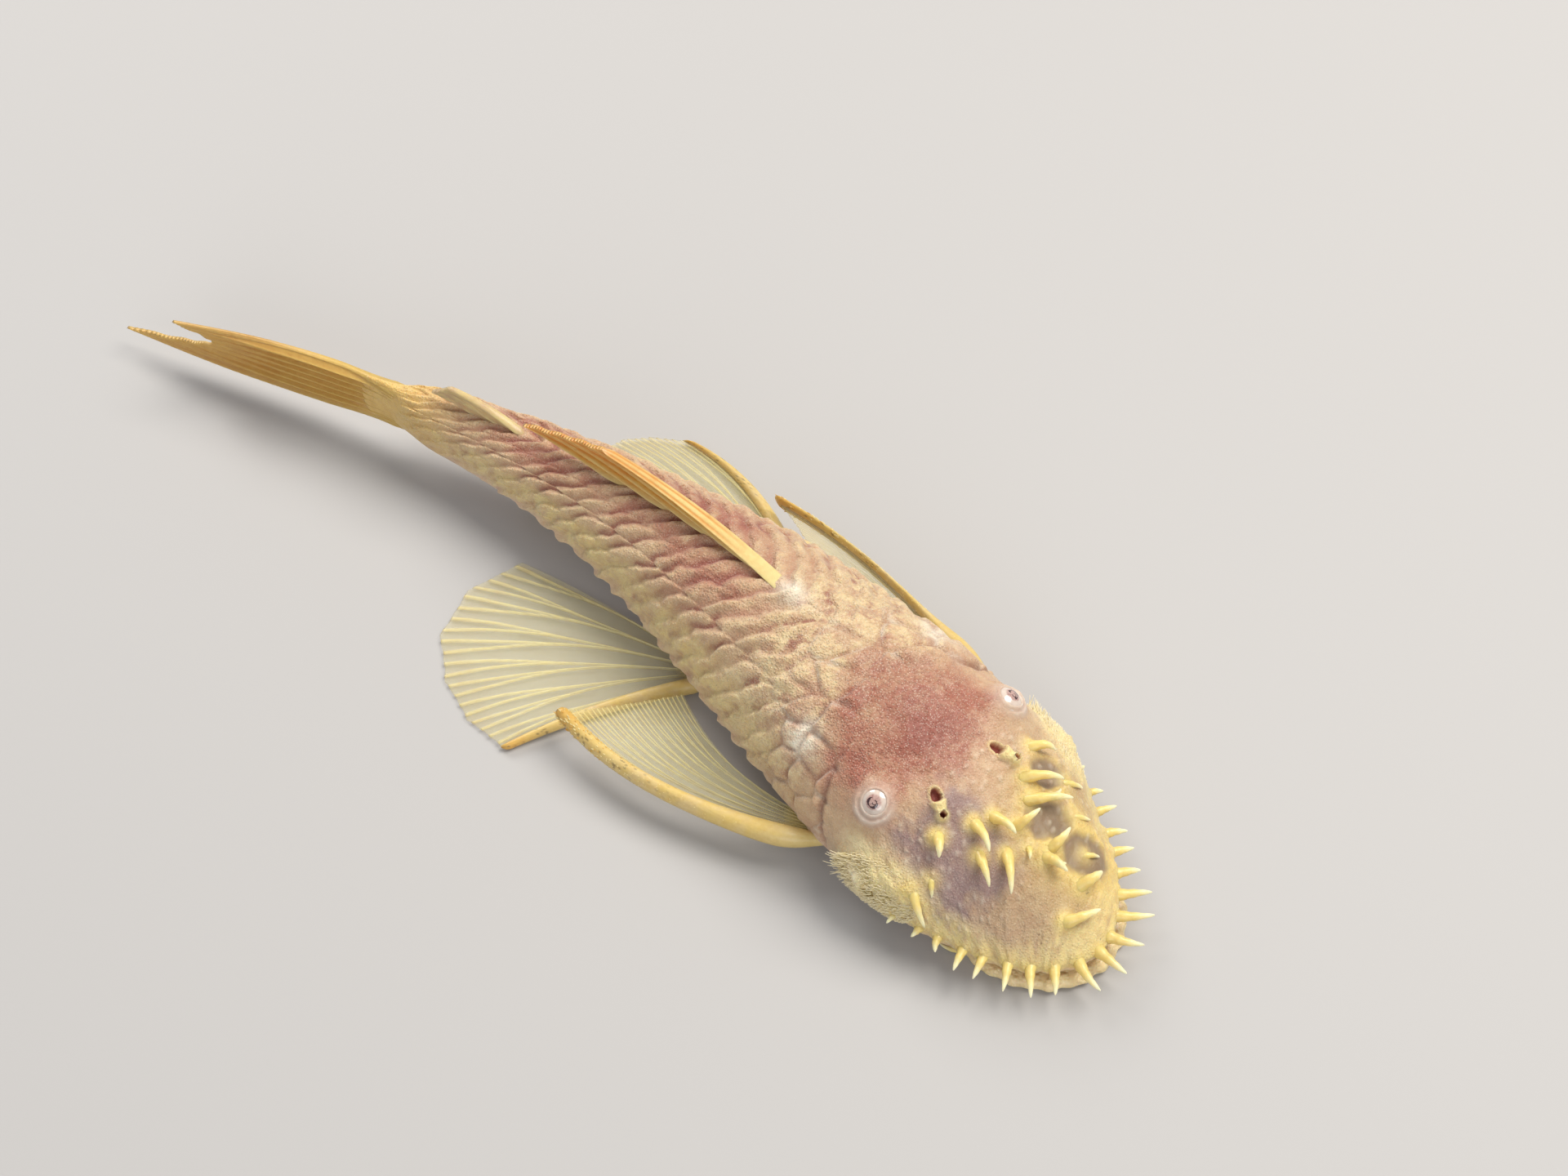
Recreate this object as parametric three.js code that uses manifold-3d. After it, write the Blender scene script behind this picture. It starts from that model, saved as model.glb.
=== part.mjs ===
// An albino bristlenose pleco (Ancistrus, adult male), life size, resting on its belly with
// its dorsal and tail fins folded. Millimetres: +X is towards the snout, +Y is to the fish's
// left, +Z is up, and the floor is z = 0.
//
// The fish is first laid out straight, by s (distance behind the snout tip), t (to its left)
// and z (height). bendPoint() then bends everything along the curved midline.
import * as THREE from "three";
import { mergeVertices } from "three/addons/utils/BufferGeometryUtils.js";
import Module from "manifold-3d";

const wasm = await Module();
wasm.setup();

// Driving dimensions
const STANDARD_LENGTH = 91; // snout to the tail fin's base
const HEAD_END = 24.6; // gill cover to the shoulder
const TRUNK_END = 64; // vent to the tail stalk
const CUT_GAP = 0.3; // gap between touching pieces
const CENTRE_X = -58.5; // middle of the bounding box, which becomes the origin
const CENTRE_Y = -1.56;

// Yaw of the midline in degrees, towards the fish's right as it goes back
const HEAD_YAW = -5;
const TAIL_YAW = 22.5;
const BEND_START = 30;
const BEND_END = 110;

// Snout outline seen from above
const SNOUT_LENGTH = 16;
const SNOUT_HALF_WIDTH = 11.3;
const SNOUT_POWER = 1.35;

// Body profiles, as [s, value]
const HALF_WIDTH = [
  [16, 11.3], [19, 11.6], [24, 11.4], [30, 10.8], [36, 10.0], [42, 9.2], [50, 7.8],
  [58, 6.3], [66, 5.0], [74, 3.9], [82, 2.9], [88, 2.2], [91, 1.7],
];
const TOP = [
  [0, 2.5], [1.2, 4.2], [4, 6.0], [8, 8.0], [13, 10.4], [18, 12.5], [24, 14.2], [30, 15.0],
  [38, 15.2], [46, 14.4], [56, 13.0], [66, 11.7], [74, 10.8], [82, 10.1], [91, 9.8],
];
const BOTTOM = [
  [0, 2.4], [1.2, 1.8], [4, 1.6], [13, 1.6], [20, 1.4], [28, 1.0], [48, 1.0], [58, 1.6],
  [66, 2.3], [76, 2.8], [86, 3.0], [91, 3.0],
];
const WIDEST = [[0, 2.45], [4, 2.7], [13, 3.7], [24, 4.9], [40, 5.2], [56, 5.4], [70, 6.0], [91, 6.4]];
const TOP_POWER = [[0, 2.0], [12, 2.1], [30, 2.2], [60, 2.3], [91, 2.5]];
const BELLY_POWER = [[0, 3.4], [56, 3.4], [70, 2.8], [91, 2.6]];

// Bony plates: rows of overlapping plates, each raised at its rear edge
const PLATE_PITCH = 2.67;
const PLATE_RISE = 0.5;
const PLATE_ROWS = 10; // five on each side
const PLATE_EDGE_ANGLE = THREE.MathUtils.degToRad(-15); // lowest row's lower edge
const PLATE_BULGE = 0.2; // how far a plate's rear edge bows back, in pitches
const PLATE_SKEW = 1.0; // how much further back its lower corner lies, in pitches

// Smooth curve through [s, value] pairs that never overshoots them
function profile(points) {
  const x = points.map((p) => p[0]);
  const y = points.map((p) => p[1]);
  const slope = x.slice(1).map((v, i) => (y[i + 1] - y[i]) / (v - x[i]));
  const tangent = x.map((v, i) => {
    if (i === 0) return slope[0];
    if (i === x.length - 1) return slope[i - 1];
    if (slope[i - 1] * slope[i] <= 0) return 0;
    const before = x[i] - x[i - 1];
    const after = x[i + 1] - x[i];
    const a = 2 * after + before;
    const b = after + 2 * before;
    return (a + b) / (a / slope[i - 1] + b / slope[i]);
  });
  return (s) => {
    const at = Math.min(Math.max(s, x[0]), x[x.length - 1]);
    let i = 0;
    while (i < x.length - 2 && x[i + 1] < at) i += 1;
    const h = x[i + 1] - x[i];
    const u = (at - x[i]) / h;
    return (
      (2 * u ** 3 - 3 * u ** 2 + 1) * y[i] +
      (u ** 3 - 2 * u ** 2 + u) * h * tangent[i] +
      (3 * u ** 2 - 2 * u ** 3) * y[i + 1] +
      (u ** 3 - u ** 2) * h * tangent[i + 1]
    );
  };
}

const sideWidth = profile(HALF_WIDTH);
const topZ = profile(TOP);
const bottomZ = profile(BOTTOM);
const widestZ = profile(WIDEST);
const topPower = profile(TOP_POWER);
const bellyPower = profile(BELLY_POWER);

function halfWidth(s) {
  if (s >= SNOUT_LENGTH) return sideWidth(s);
  const u = 1 - Math.max(s, 0) / SNOUT_LENGTH;
  return SNOUT_HALF_WIDTH * Math.sqrt(Math.max(0, 1 - u ** SNOUT_POWER));
}

// The midline, stepped out from the snout in both directions
const MIDLINE_STEP = 0.25;
const MIDLINE_FROM = -8;
const MIDLINE_COUNT = 560;
function yawAt(s) {
  const u = THREE.MathUtils.smoothstep(s, BEND_START, BEND_END);
  return THREE.MathUtils.degToRad(HEAD_YAW + (TAIL_YAW - HEAD_YAW) * u);
}
const midline = [new THREE.Vector2(0, 0)];
for (let i = 1; i < MIDLINE_COUNT; i += 1) {
  const yaw = yawAt(MIDLINE_FROM + (i - 0.5) * MIDLINE_STEP);
  const last = midline[i - 1];
  midline.push(
    new THREE.Vector2(last.x - Math.cos(yaw) * MIDLINE_STEP, last.y - Math.sin(yaw) * MIDLINE_STEP),
  );
}
const snoutPoint = midline[-MIDLINE_FROM / MIDLINE_STEP].clone();

function bendPoint(s, t, z) {
  const at = Math.min(Math.max((s - MIDLINE_FROM) / MIDLINE_STEP, 0), MIDLINE_COUNT - 1.001);
  const i = Math.floor(at);
  const p = midline[i].clone().lerp(midline[i + 1], at - i).sub(snoutPoint);
  const yaw = yawAt(s);
  return new THREE.Vector3(p.x - t * Math.sin(yaw), p.y + t * Math.cos(yaw), z);
}

// A point of the skin: angle 0 is the left edge, a quarter turn is the back, and rise is
// how far the point stands off the plain skin.
function skinPoint(s, angle, rise = 0) {
  const c = Math.cos(angle);
  const k = Math.sin(angle);
  const power = 2 / (k >= 0 ? topPower(s) : bellyPower(s));
  const reach = (k >= 0 ? topZ(s) - widestZ(s) : widestZ(s) - bottomZ(s)) + rise;
  return {
    t: (halfWidth(s) + rise) * Math.sign(c) * Math.abs(c) ** power,
    z: widestZ(s) + Math.sign(k) * reach * Math.abs(k) ** power,
  };
}

function skinVertex(s, angle, rise = 0) {
  const p = skinPoint(s, angle, rise);
  return bendPoint(s, p.t, p.z);
}

// Height of the back at a distance t from the midline
function backZ(s, t) {
  const share = Math.min(Math.abs(t) / halfWidth(s), 1);
  const power = topPower(s);
  return widestZ(s) + (topZ(s) - widestZ(s)) * (1 - share ** power) ** (1 / power);
}

// Mesh helpers
function meshOf(points, faces) {
  const geometry = new THREE.BufferGeometry();
  geometry.setAttribute("position", new THREE.Float32BufferAttribute(points.flatMap((p) => p.toArray()), 3));
  geometry.setIndex(faces.flat());
  return geometry;
}

function solidOf(geometry) {
  const bare = geometry.clone();
  bare.deleteAttribute("normal");
  bare.deleteAttribute("uv");
  const merged = mergeVertices(bare, 1e-4);
  const mesh = new wasm.Mesh({
    numProp: 3,
    vertProperties: merged.attributes.position.array,
    triVerts: new Uint32Array(merged.index.array),
  });
  return new wasm.Manifold(mesh);
}

function largest(solid) {
  return solid.decompose().reduce((a, b) => (b.volume() > a.volume() ? b : a));
}

function geometryOf(solid) {
  const mesh = largest(solid).getMesh();
  const geometry = new THREE.BufferGeometry();
  geometry.setAttribute("position", new THREE.BufferAttribute(new Float32Array(mesh.vertProperties), 3));
  geometry.setIndex(new THREE.BufferAttribute(new Uint32Array(mesh.triVerts), 1));
  geometry.computeVertexNormals();
  return geometry;
}

// Joins rings of points, each the same count, into a closed tube. An end is closed by a fan
// from its own middle point, which may be a pole ahead of the first ring.
function tubeOf(rings, firstMiddle, lastMiddle) {
  const count = rings[0].length;
  const points = [...rings.flat(), firstMiddle, lastMiddle];
  const first = points.length - 2;
  const last = points.length - 1;
  const faces = [];
  for (let r = 0; r < rings.length - 1; r += 1) {
    for (let i = 0; i < count; i += 1) {
      const a = r * count + i;
      const b = r * count + ((i + 1) % count);
      faces.push([a, a + count, b], [b, a + count, b + count]);
    }
  }
  const end = (rings.length - 1) * count;
  for (let i = 0; i < count; i += 1) {
    const next = (i + 1) % count;
    faces.push([first, i, next], [last, end + next, end + i]);
  }
  return meshOf(points, faces);
}

function solidFacingOut(geometry) {
  const solid = solidOf(geometry);
  if (solid.volume() > 0) return solid;
  const index = geometry.index.array;
  for (let i = 0; i < index.length; i += 3) [index[i + 1], index[i + 2]] = [index[i + 2], index[i + 1]];
  return solidOf(geometry);
}

// Angles round a section: plate rows with their grooves, then the bare belly
const ROW_ANGLE = (Math.PI - 2 * PLATE_EDGE_ANGLE) / PLATE_ROWS;
const BELLY_STEPS = 6;
function sectionColumns(stepsInRow) {
  const columns = [];
  for (let row = 0; row < PLATE_ROWS; row += 1) {
    for (let step = 0; step < stepsInRow; step += 1) {
      columns.push({ angle: PLATE_EDGE_ANGLE + (row + step / stepsInRow) * ROW_ANGLE, row, step });
    }
  }
  const bellyFrom = PLATE_EDGE_ANGLE + PLATE_ROWS * ROW_ANGLE;
  const bellySpan = 2 * Math.PI - PLATE_ROWS * ROW_ANGLE;
  for (let i = 0; i < BELLY_STEPS; i += 1) {
    columns.push({ angle: bellyFrom + (bellySpan * i) / BELLY_STEPS, row: -1, step: i });
  }
  return columns;
}

// Rows are counted from the left edge over the back, and both sides are alike
function plateShift(column, stepsInRow) {
  if (column.row < 0 || column.step === 0) return 0;
  const across = column.step / stepsInRow - 0.5;
  const down = column.row < PLATE_ROWS / 2 ? -across : across;
  return (PLATE_SKEW * down + PLATE_BULGE) * PLATE_PITCH;
}

// One ring for each phase of a plate: its sunken front, its middle and its raised rear edge
const PLATE_PHASES = [
  { at: 0.0, rise: 0.06 },
  { at: 0.5, rise: 0.55 },
  { at: 0.93, rise: 1.0 },
];

function platedRings(from, to, stepsInRow) {
  const columns = sectionColumns(stepsInRow);
  const rings = [];
  const plateCount = Math.round((to - from) / PLATE_PITCH);
  const pitch = (to - from) / plateCount;
  const addRing = (s, share) => {
    const fade = THREE.MathUtils.smoothstep(s, from, from + 1.6 * pitch) *
      (1 - THREE.MathUtils.smoothstep(s, to - 1.6 * pitch, to));
    rings.push(
      columns.map((column) => {
        const here = s + plateShift(column, stepsInRow) * fade;
        const groove = column.row < 0 ? 0 : column.step === 0 ? 0.25 : 1;
        const slim = Math.min(1, 0.45 + halfWidth(here) / 12);
        return skinVertex(here, column.angle, PLATE_RISE * share * groove * slim);
      }),
    );
  };
  for (let plate = 0; plate < plateCount; plate += 1) {
    for (const phase of PLATE_PHASES) addRing(from + (plate + phase.at) * pitch, phase.rise);
  }
  addRing(to, 0.06);
  return rings;
}

function sectionMiddle(s) {
  return bendPoint(s, 0, (topZ(s) + bottomZ(s)) / 2);
}

function platedPiece(from, to, stepsInRow) {
  const rings = platedRings(from, to, stepsInRow);
  return solidFacingOut(tubeOf(rings, sectionMiddle(from), sectionMiddle(to)));
}

// The plain skin between two stations, standing off by rise: used for the head and for
// cutting the roots of the fins
function plainPiece(from, to, ringCount, sides, rise = 0) {
  const rings = [];
  for (let i = 0; i < ringCount; i += 1) {
    const u = i / (ringCount - 1);
    const s = from + (to - from) * u;
    rings.push(Array.from({ length: sides }, (_, k) => skinVertex(s, (2 * Math.PI * k) / sides, rise)));
  }
  return solidFacingOut(tubeOf(rings, sectionMiddle(from), sectionMiddle(to)));
}

// A tapered spine along a bent path from its root, sunk below it by sink
function spine({ root, knee, tip, radius, sink = 1.1, sides = 6 }) {
  const path = new THREE.QuadraticBezierCurve3(root, knee, tip);
  const start = knee.clone().sub(root).normalize();
  const shape = [
    { centre: root.clone().addScaledVector(start, -sink), along: start, share: 1.05 },
    { centre: path.getPoint(0.42), along: path.getTangent(0.42), share: 0.85 },
    { centre: path.getPoint(0.78), along: path.getTangent(0.78), share: 0.52 },
  ];
  const across = new THREE.Vector3(0, 0, 1).cross(start);
  if (across.length() < 0.2) across.set(0, 1, 0);
  const rings = shape.map(({ centre, along, share }) => {
    const side = across.clone().addScaledVector(along, -across.dot(along)).normalize();
    const other = new THREE.Vector3().crossVectors(side, along);
    return Array.from({ length: sides }, (_, k) => {
      const a = (2 * Math.PI * k) / sides;
      return centre.clone()
        .addScaledVector(side, Math.cos(a) * radius * share)
        .addScaledVector(other, Math.sin(a) * radius * share);
    });
  });
  return solidFacingOut(tubeOf(rings, shape[0].centre, tip));
}

// A repeatable random draw
function seededRandom(seed) {
  let state = seed;
  return () => {
    state = (state * 1664525 + 1013904223) % 4294967296;
    return state / 4294967296;
  };
}

// Head
const EYE = { s: 21.1, t: 7.8, radius: 1.75, out: 0.35 };
const EYE_RIM = { radius: 2.35, tube: 0.42 };
const NOSTRIL = { s: 17.0, t: 4.1, collar: 1.25, pit: 0.42 };
const CHEEK = { s: 17.2, t: 11.6, z: 4.1, turn: 0.12 };

// Outward direction of the back at (s, t), by differences
function backNormal(s, t) {
  const step = 0.05;
  const here = bendPoint(s, t, backZ(s, t));
  const ahead = bendPoint(s - step, t, backZ(s - step, t)).sub(here);
  const left = bendPoint(s, t + step, backZ(s, t + step)).sub(here);
  return ahead.cross(left).normalize();
}

function ellipsoid(centre, radii, yaw = 0, sides = 12) {
  const geometry = new THREE.SphereGeometry(1, sides, Math.round(sides * 0.7));
  geometry.scale(...radii);
  geometry.rotateZ(yaw);
  geometry.translate(centre.x, centre.y, centre.z);
  return solidOf(geometry);
}

function ring(centre, axis, radius, tube) {
  const geometry = new THREE.TorusGeometry(radius, tube, 5, 15);
  const turn = new THREE.Quaternion().setFromUnitVectors(new THREE.Vector3(0, 0, 1), axis);
  geometry.applyQuaternion(turn);
  geometry.translate(centre.x, centre.y, centre.z);
  return solidOf(geometry);
}

function eyeCentre(side) {
  const t = EYE.t * side;
  const normal = backNormal(EYE.s, t);
  return bendPoint(EYE.s, t, backZ(EYE.s, t)).addScaledVector(normal, EYE.out - EYE.radius * 0.45);
}

// Fleshy tentacles along the snout's margin, longest at the front
const MARGIN_TENTACLES = 19;
const MARGIN_REACH = 15.5; // how far back the row runs, in s
function marginTentacles(random) {
  const fine = 160;
  const outline = Array.from({ length: fine + 1 }, (_, i) => {
    const a = (i / fine) * 2 - 1;
    const s = MARGIN_REACH * Math.abs(a) ** 1.9;
    return bendPoint(s, Math.sign(a) * halfWidth(s), widestZ(s) + 0.3);
  });
  const row = new THREE.CatmullRomCurve3(outline);
  return Array.from({ length: MARGIN_TENTACLES }, (_, n) => {
    const place = (n + 0.5 + (random() - 0.5) * 0.25) / MARGIN_TENTACLES;
    const root = row.getPointAt(place);
    const along = row.getTangentAt(place);
    const outward = new THREE.Vector3(along.y, -along.x, 0).normalize();
    const front = 1 - Math.abs(place * 2 - 1);
    const length = (1.3 + 2.2 * front) * (0.88 + 0.24 * random());
    const knee = root.clone().addScaledVector(outward, length * 0.5).setZ(root.z + 0.1 * length);
    const tip = root.clone()
      .addScaledVector(outward, length)
      .addScaledVector(along, (random() - 0.5) * 0.5 * length);
    tip.z -= 0.06 * length;
    return spine({ root, knee, tip, radius: 0.4 + 0.16 * Math.sqrt(front), sides: 5 });
  });
}

// Longer tentacles on top of the snout, in the male's Y shape: a stem on the midline and an
// arm on each side that runs back past the nostrils. Each is [s, t] of its root, [s, t] of its
// tip, the tip's height over the skin, and the radius.
const TOP_TENTACLES = [
  [3.2, -1.1, 2.0, 2.0, 1.1, 0.62], [4.8, 2.2, 4.4, 4.6, 1.3, 0.64], [8.3, 1.0, 5.8, 1.4, 1.6, 0.6],
  [8.6, 1.9, 8.6, 4.4, 1.5, 0.58], [10.4, -1.8, 7.4, -4.3, 1.5, 0.56], [11.8, -3.9, 9.1, -5.4, 1.3, 0.52],
  [11.7, 0.6, 11.2, 2.8, 1.5, 0.5], [13.4, -0.7, 10.7, -0.6, 1.7, 0.56], [14.0, -2.5, 11.0, -3.5, 1.7, 0.58],
  [12.8, 3.2, 10.5, 6.4, 1.7, 0.58], [14.6, 4.2, 12.3, 7.2, 1.7, 0.58], [15.3, -5.8, 13.6, -7.1, 1.5, 0.6],
  [16.6, 6.9, 15.1, 8.9, 1.3, 0.54], [14.1, -9.7, 11.4, -10.7, 1.2, 0.54],
];
function topTentacles() {
  return TOP_TENTACLES.map(([s, t, tipS, tipT, height, radius]) => {
    const root = bendPoint(s, t, backZ(s, t));
    const tip = bendPoint(tipS, tipT, backZ(tipS, tipT) + height);
    const knee = root.clone().lerp(tip, 0.4).addScaledVector(backNormal(s, t), 1.5);
    return spine({ root, knee, tip, radius });
  });
}

// Cheek patch with its bristles, in front of the gill cover
const CHEEK_BRISTLES = 6;
function cheek(side, random) {
  const centre = bendPoint(CHEEK.s, CHEEK.t * side - 1.1 * side, CHEEK.z);
  const solids = [ellipsoid(centre, [4.1, 1.9, 2.2], CHEEK.turn * side, 10)];
  for (let n = 0; n < CHEEK_BRISTLES; n += 1) {
    const row = n % 2;
    const s = CHEEK.s - 2.2 + 2.4 * Math.floor(n / 2) + row * 0.8;
    const length = 1.5 + 0.6 * random();
    const root = bendPoint(s, side * (CHEEK.t + 0.1), CHEEK.z - 0.5 + 1.1 * row);
    const knee = bendPoint(s + 0.4, side * (CHEEK.t + 0.8), CHEEK.z - 0.7 + 1.4 * row);
    const tip = bendPoint(s + length, side * (CHEEK.t + 1.4), CHEEK.z - 0.7 + 1.6 * row);
    solids.push(spine({ root, knee, tip, radius: 0.32, sink: 0.8, sides: 5 }));
  }
  return solids;
}

const HEAD_RINGS = 16;
const HEAD_SIDES = 34;
function headShell() {
  const rings = [];
  for (let i = 1; i <= HEAD_RINGS; i += 1) {
    const u = i / HEAD_RINGS;
    const s = HEAD_END * u ** 1.7;
    rings.push(Array.from({ length: HEAD_SIDES }, (_, k) => skinVertex(s, (2 * Math.PI * k) / HEAD_SIDES)));
  }
  return solidFacingOut(tubeOf(rings, bendPoint(0, 0, widestZ(0)), sectionMiddle(HEAD_END)));
}

function headSolid() {
  const random = seededRandom(7);
  const added = [...marginTentacles(random), ...topTentacles()];
  const cuts = [];
  for (const side of [1, -1]) {
    added.push(...cheek(side, random));
    const centre = eyeCentre(side);
    const normal = backNormal(EYE.s, EYE.t * side);
    added.push(ring(centre.clone().addScaledVector(normal, 0.5), normal, EYE_RIM.radius, EYE_RIM.tube));
    cuts.push(ellipsoid(centre, [1, 1, 1].map(() => EYE.radius + CUT_GAP), 0, 14));
    const nose = bendPoint(NOSTRIL.s, NOSTRIL.t * side, backZ(NOSTRIL.s, NOSTRIL.t * side));
    added.push(ellipsoid(nose, [1.7, NOSTRIL.collar, 0.62], 0.5 * side, 12));
    const flap = nose.clone().addScaledVector(backNormal(NOSTRIL.s, NOSTRIL.t * side), 0.3);
    const knee = flap.clone().add(new THREE.Vector3(0.1, 0, 0.7));
    const tip = flap.clone().add(new THREE.Vector3(0.9, 0.2 * side, 1.1));
    added.push(spine({ root: flap, knee, tip, radius: 0.55, sink: 0.6 }));
    for (const along of [0.95, -0.95]) {
      const pit = nose.clone().add(new THREE.Vector3(along, 0.35 * along * side, 0.75));
      cuts.push(ellipsoid(pit, [NOSTRIL.pit, NOSTRIL.pit * 0.8, 1.0], 0, 8));
    }
  }
  const joined = added.reduce((a, b) => a.add(b), headShell());
  return cuts.reduce((a, b) => a.subtract(b), joined);
}

// Sucker mouth: a round lip disc under the snout, its front lip just ahead of the snout,
// with the mouth slit and the inside of the disc sunk from below
const MOUTH = { s: 8.2, length: 9.1, width: 8.2, height: 1.25 };
function mouthSolid() {
  const sides = 30;
  const levels = [[0, 0.94], [0.4, 1.0], [MOUTH.height, 0.93]];
  const rings = levels.map(([z, share]) =>
    Array.from({ length: sides }, (_, k) => {
      const a = (2 * Math.PI * k) / sides;
      const s = MOUTH.s - MOUTH.length * share * Math.cos(a);
      const t = MOUTH.width * share * Math.sin(a);
      return bendPoint(s, t, z);
    }),
  );
  const disc = solidFacingOut(
    tubeOf(rings, bendPoint(MOUTH.s, 0, 0), bendPoint(MOUTH.s, 0, MOUTH.height)),
  );
  const cup = ellipsoid(bendPoint(MOUTH.s + 0.8, 0, -0.1), [6.2, 5.9, 0.6], 0, 16);
  const slit = ellipsoid(bendPoint(MOUTH.s - 0.4, 0, 0.2), [0.9, 3.3, 0.7], 0.08, 12);
  const jaw = (s) => ellipsoid(bendPoint(s, 0, 0.6), [0.55, 2.7, 0.35], 0.08, 10);
  const barbels = [1, -1].map((side) => {
    const at = (s, t, z) => bendPoint(MOUTH.s + s, side * (MOUTH.width + t), z);
    return spine({ root: at(0.6, -0.6, 0.6), knee: at(1.5, 0.6, 0.6), tip: at(2.9, 0.9, 0.4), radius: 0.38 });
  });
  const cupped = disc.subtract(cup).add(jaw(MOUTH.s - 1.9)).add(jaw(MOUTH.s + 1.1)).subtract(slit);
  return barbels.reduce((a, b) => a.add(b), cupped);
}

// Fins: a closed sheet over rays. Each ray is a curve (s, t, z) from its base at u = 0 to its
// tip at u = 1; the rays are ridges in the sheet, and a stout spine may lie along the first.
const MEMBRANE_HALF = 0.26;
const RAY_HALF = 0.44;
const NOTCH = 0.03; // how far the web falls short between two rays, as a share of their length
function finSolid({ rays, spineRadius = 0, tipRadius = 0, steps = 8, normal, pleat = 0, flesh = 0 }) {
  const columns = [];
  if (spineRadius > 0) {
    for (const across of [-1, -0.7, 0, 0.7]) columns.push({ ray: 0, across, kind: "spine" });
  } else {
    columns.push({ ray: 0, across: 0, kind: "ray" });
  }
  for (let ray = 1; ray < rays.length; ray += 1) {
    columns.push({ ray: ray - 0.5, across: 0, kind: "web" });
    columns.push({ ray, across: 0, kind: "ray" });
  }
  const pointOn = (ray, u) => {
    const low = Math.floor(ray);
    const high = Math.ceil(ray);
    return rays[low](u).lerp(rays[high](u), ray - low);
  };
  const upper = [];
  const lower = [];
  for (const column of columns) {
    for (let i = 0; i <= steps; i += 1) {
      const u = (i / steps) * (column.kind === "web" ? 1 - NOTCH : 1);
      const point = pointOn(column.ray, u);
      const up = normal(column.ray, u);
      let half = column.kind === "web" ? MEMBRANE_HALF : THREE.MathUtils.lerp(RAY_HALF, MEMBRANE_HALF, u * u);
      if (column.kind === "spine") {
        const radius = THREE.MathUtils.lerp(spineRadius, tipRadius, u ** 1.3);
        const toNext = pointOn(1, u).sub(point).normalize();
        point.addScaledVector(toNext, (column.across - 0.8) * radius);
        half = Math.max(0.12, radius * Math.sqrt(1 - column.across ** 2));
      } else {
        half += flesh * Math.max(0, 1 - u / 0.16) ** 2;
        if (column.kind === "ray") point.addScaledVector(up, pleat * (column.ray % 2 ? 1 : -1));
      }
      upper.push(point.clone().addScaledVector(up, half));
      lower.push(point.clone().addScaledVector(up, -half));
    }
  }
  const rows = steps + 1;
  const size = upper.length;
  const faces = [];
  for (let c = 0; c < columns.length - 1; c += 1) {
    for (let i = 0; i < steps; i += 1) {
      const a = c * rows + i;
      const b = a + rows;
      faces.push([a, b, a + 1], [a + 1, b, b + 1]);
      faces.push([size + a, size + a + 1, size + b], [size + a + 1, size + b + 1, size + b]);
    }
  }
  const edge = [];
  for (let i = 0; i < steps; i += 1) edge.push([i, i + 1]);
  for (let c = 0; c < columns.length - 1; c += 1) edge.push([c * rows + steps, (c + 1) * rows + steps]);
  const last = (columns.length - 1) * rows;
  for (let i = steps; i > 0; i -= 1) edge.push([last + i, last + i - 1]);
  for (let c = columns.length - 1; c > 0; c -= 1) edge.push([c * rows, (c - 1) * rows]);
  for (const [a, b] of edge) faces.push([a, b, size + a], [b, size + b, size + a]);
  return solidFacingOut(meshOf([...upper, ...lower], faces));
}

// A ray in the straight layout, bowed by a sideways offset at its middle
function rayCurve(base, tip, bow = [0, 0, 0]) {
  return (u) => {
    const k = 4 * u * (1 - u);
    return bendPoint(
      THREE.MathUtils.lerp(base[0], tip[0], u) + bow[0] * k,
      THREE.MathUtils.lerp(base[1], tip[1], u) + bow[1] * k,
      THREE.MathUtils.lerp(base[2], tip[2], u) + bow[2] * k,
    );
  };
}
const UP = new THREE.Vector3(0, 0, 1);
const sideways = (s) => bendPoint(s, 1, 0).sub(bendPoint(s, 0, 0)).normalize();

const TRUNK_CUTTER = plainPiece(20, 72, 40, 40, PLATE_RISE * 0.9 + CUT_GAP);
const HEAD_CUTTER = plainPiece(6, HEAD_END + 2, 16, 40, CUT_GAP);

// Pectoral fins: a stout spine laid back along the side, over six soft rays
const PECTORAL = {
  z: 3.1,
  innerBow: 1.5,
  right: { from: [26.7, 11.4], tip: [53.5, 18.8, 3.6], bow: 3.0 },
  left: { from: [26.7, 10.9], tip: [55.0, 12.6, 3.4], bow: 1.4 },
};
function pectoralFin(side) {
  const { from, tip, bow } = side > 0 ? PECTORAL.left : PECTORAL.right;
  const rayCount = 7;
  const inner = [46.5, halfWidth(46.5) + 1.1];
  const rays = Array.from({ length: rayCount }, (_, n) => {
    const v = n / (rayCount - 1);
    const start = [from[0] + 2.2 * v, side * (from[1] - 0.9 * v), PECTORAL.z - 0.2 * v];
    const end = [
      THREE.MathUtils.lerp(tip[0], inner[0], v ** 0.8),
      side * THREE.MathUtils.lerp(tip[1], inner[1], v),
      THREE.MathUtils.lerp(tip[2], 2.75, v),
    ];
    return rayCurve(start, end, [0, side * THREE.MathUtils.lerp(bow, PECTORAL.innerBow, v), 0]);
  });
  const fin = finSolid({ rays, spineRadius: 1.15, tipRadius: 0.62, normal: () => UP, steps: 7 });
  return fin.subtract(TRUNK_CUTTER).subtract(HEAD_CUTTER);
}

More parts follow.
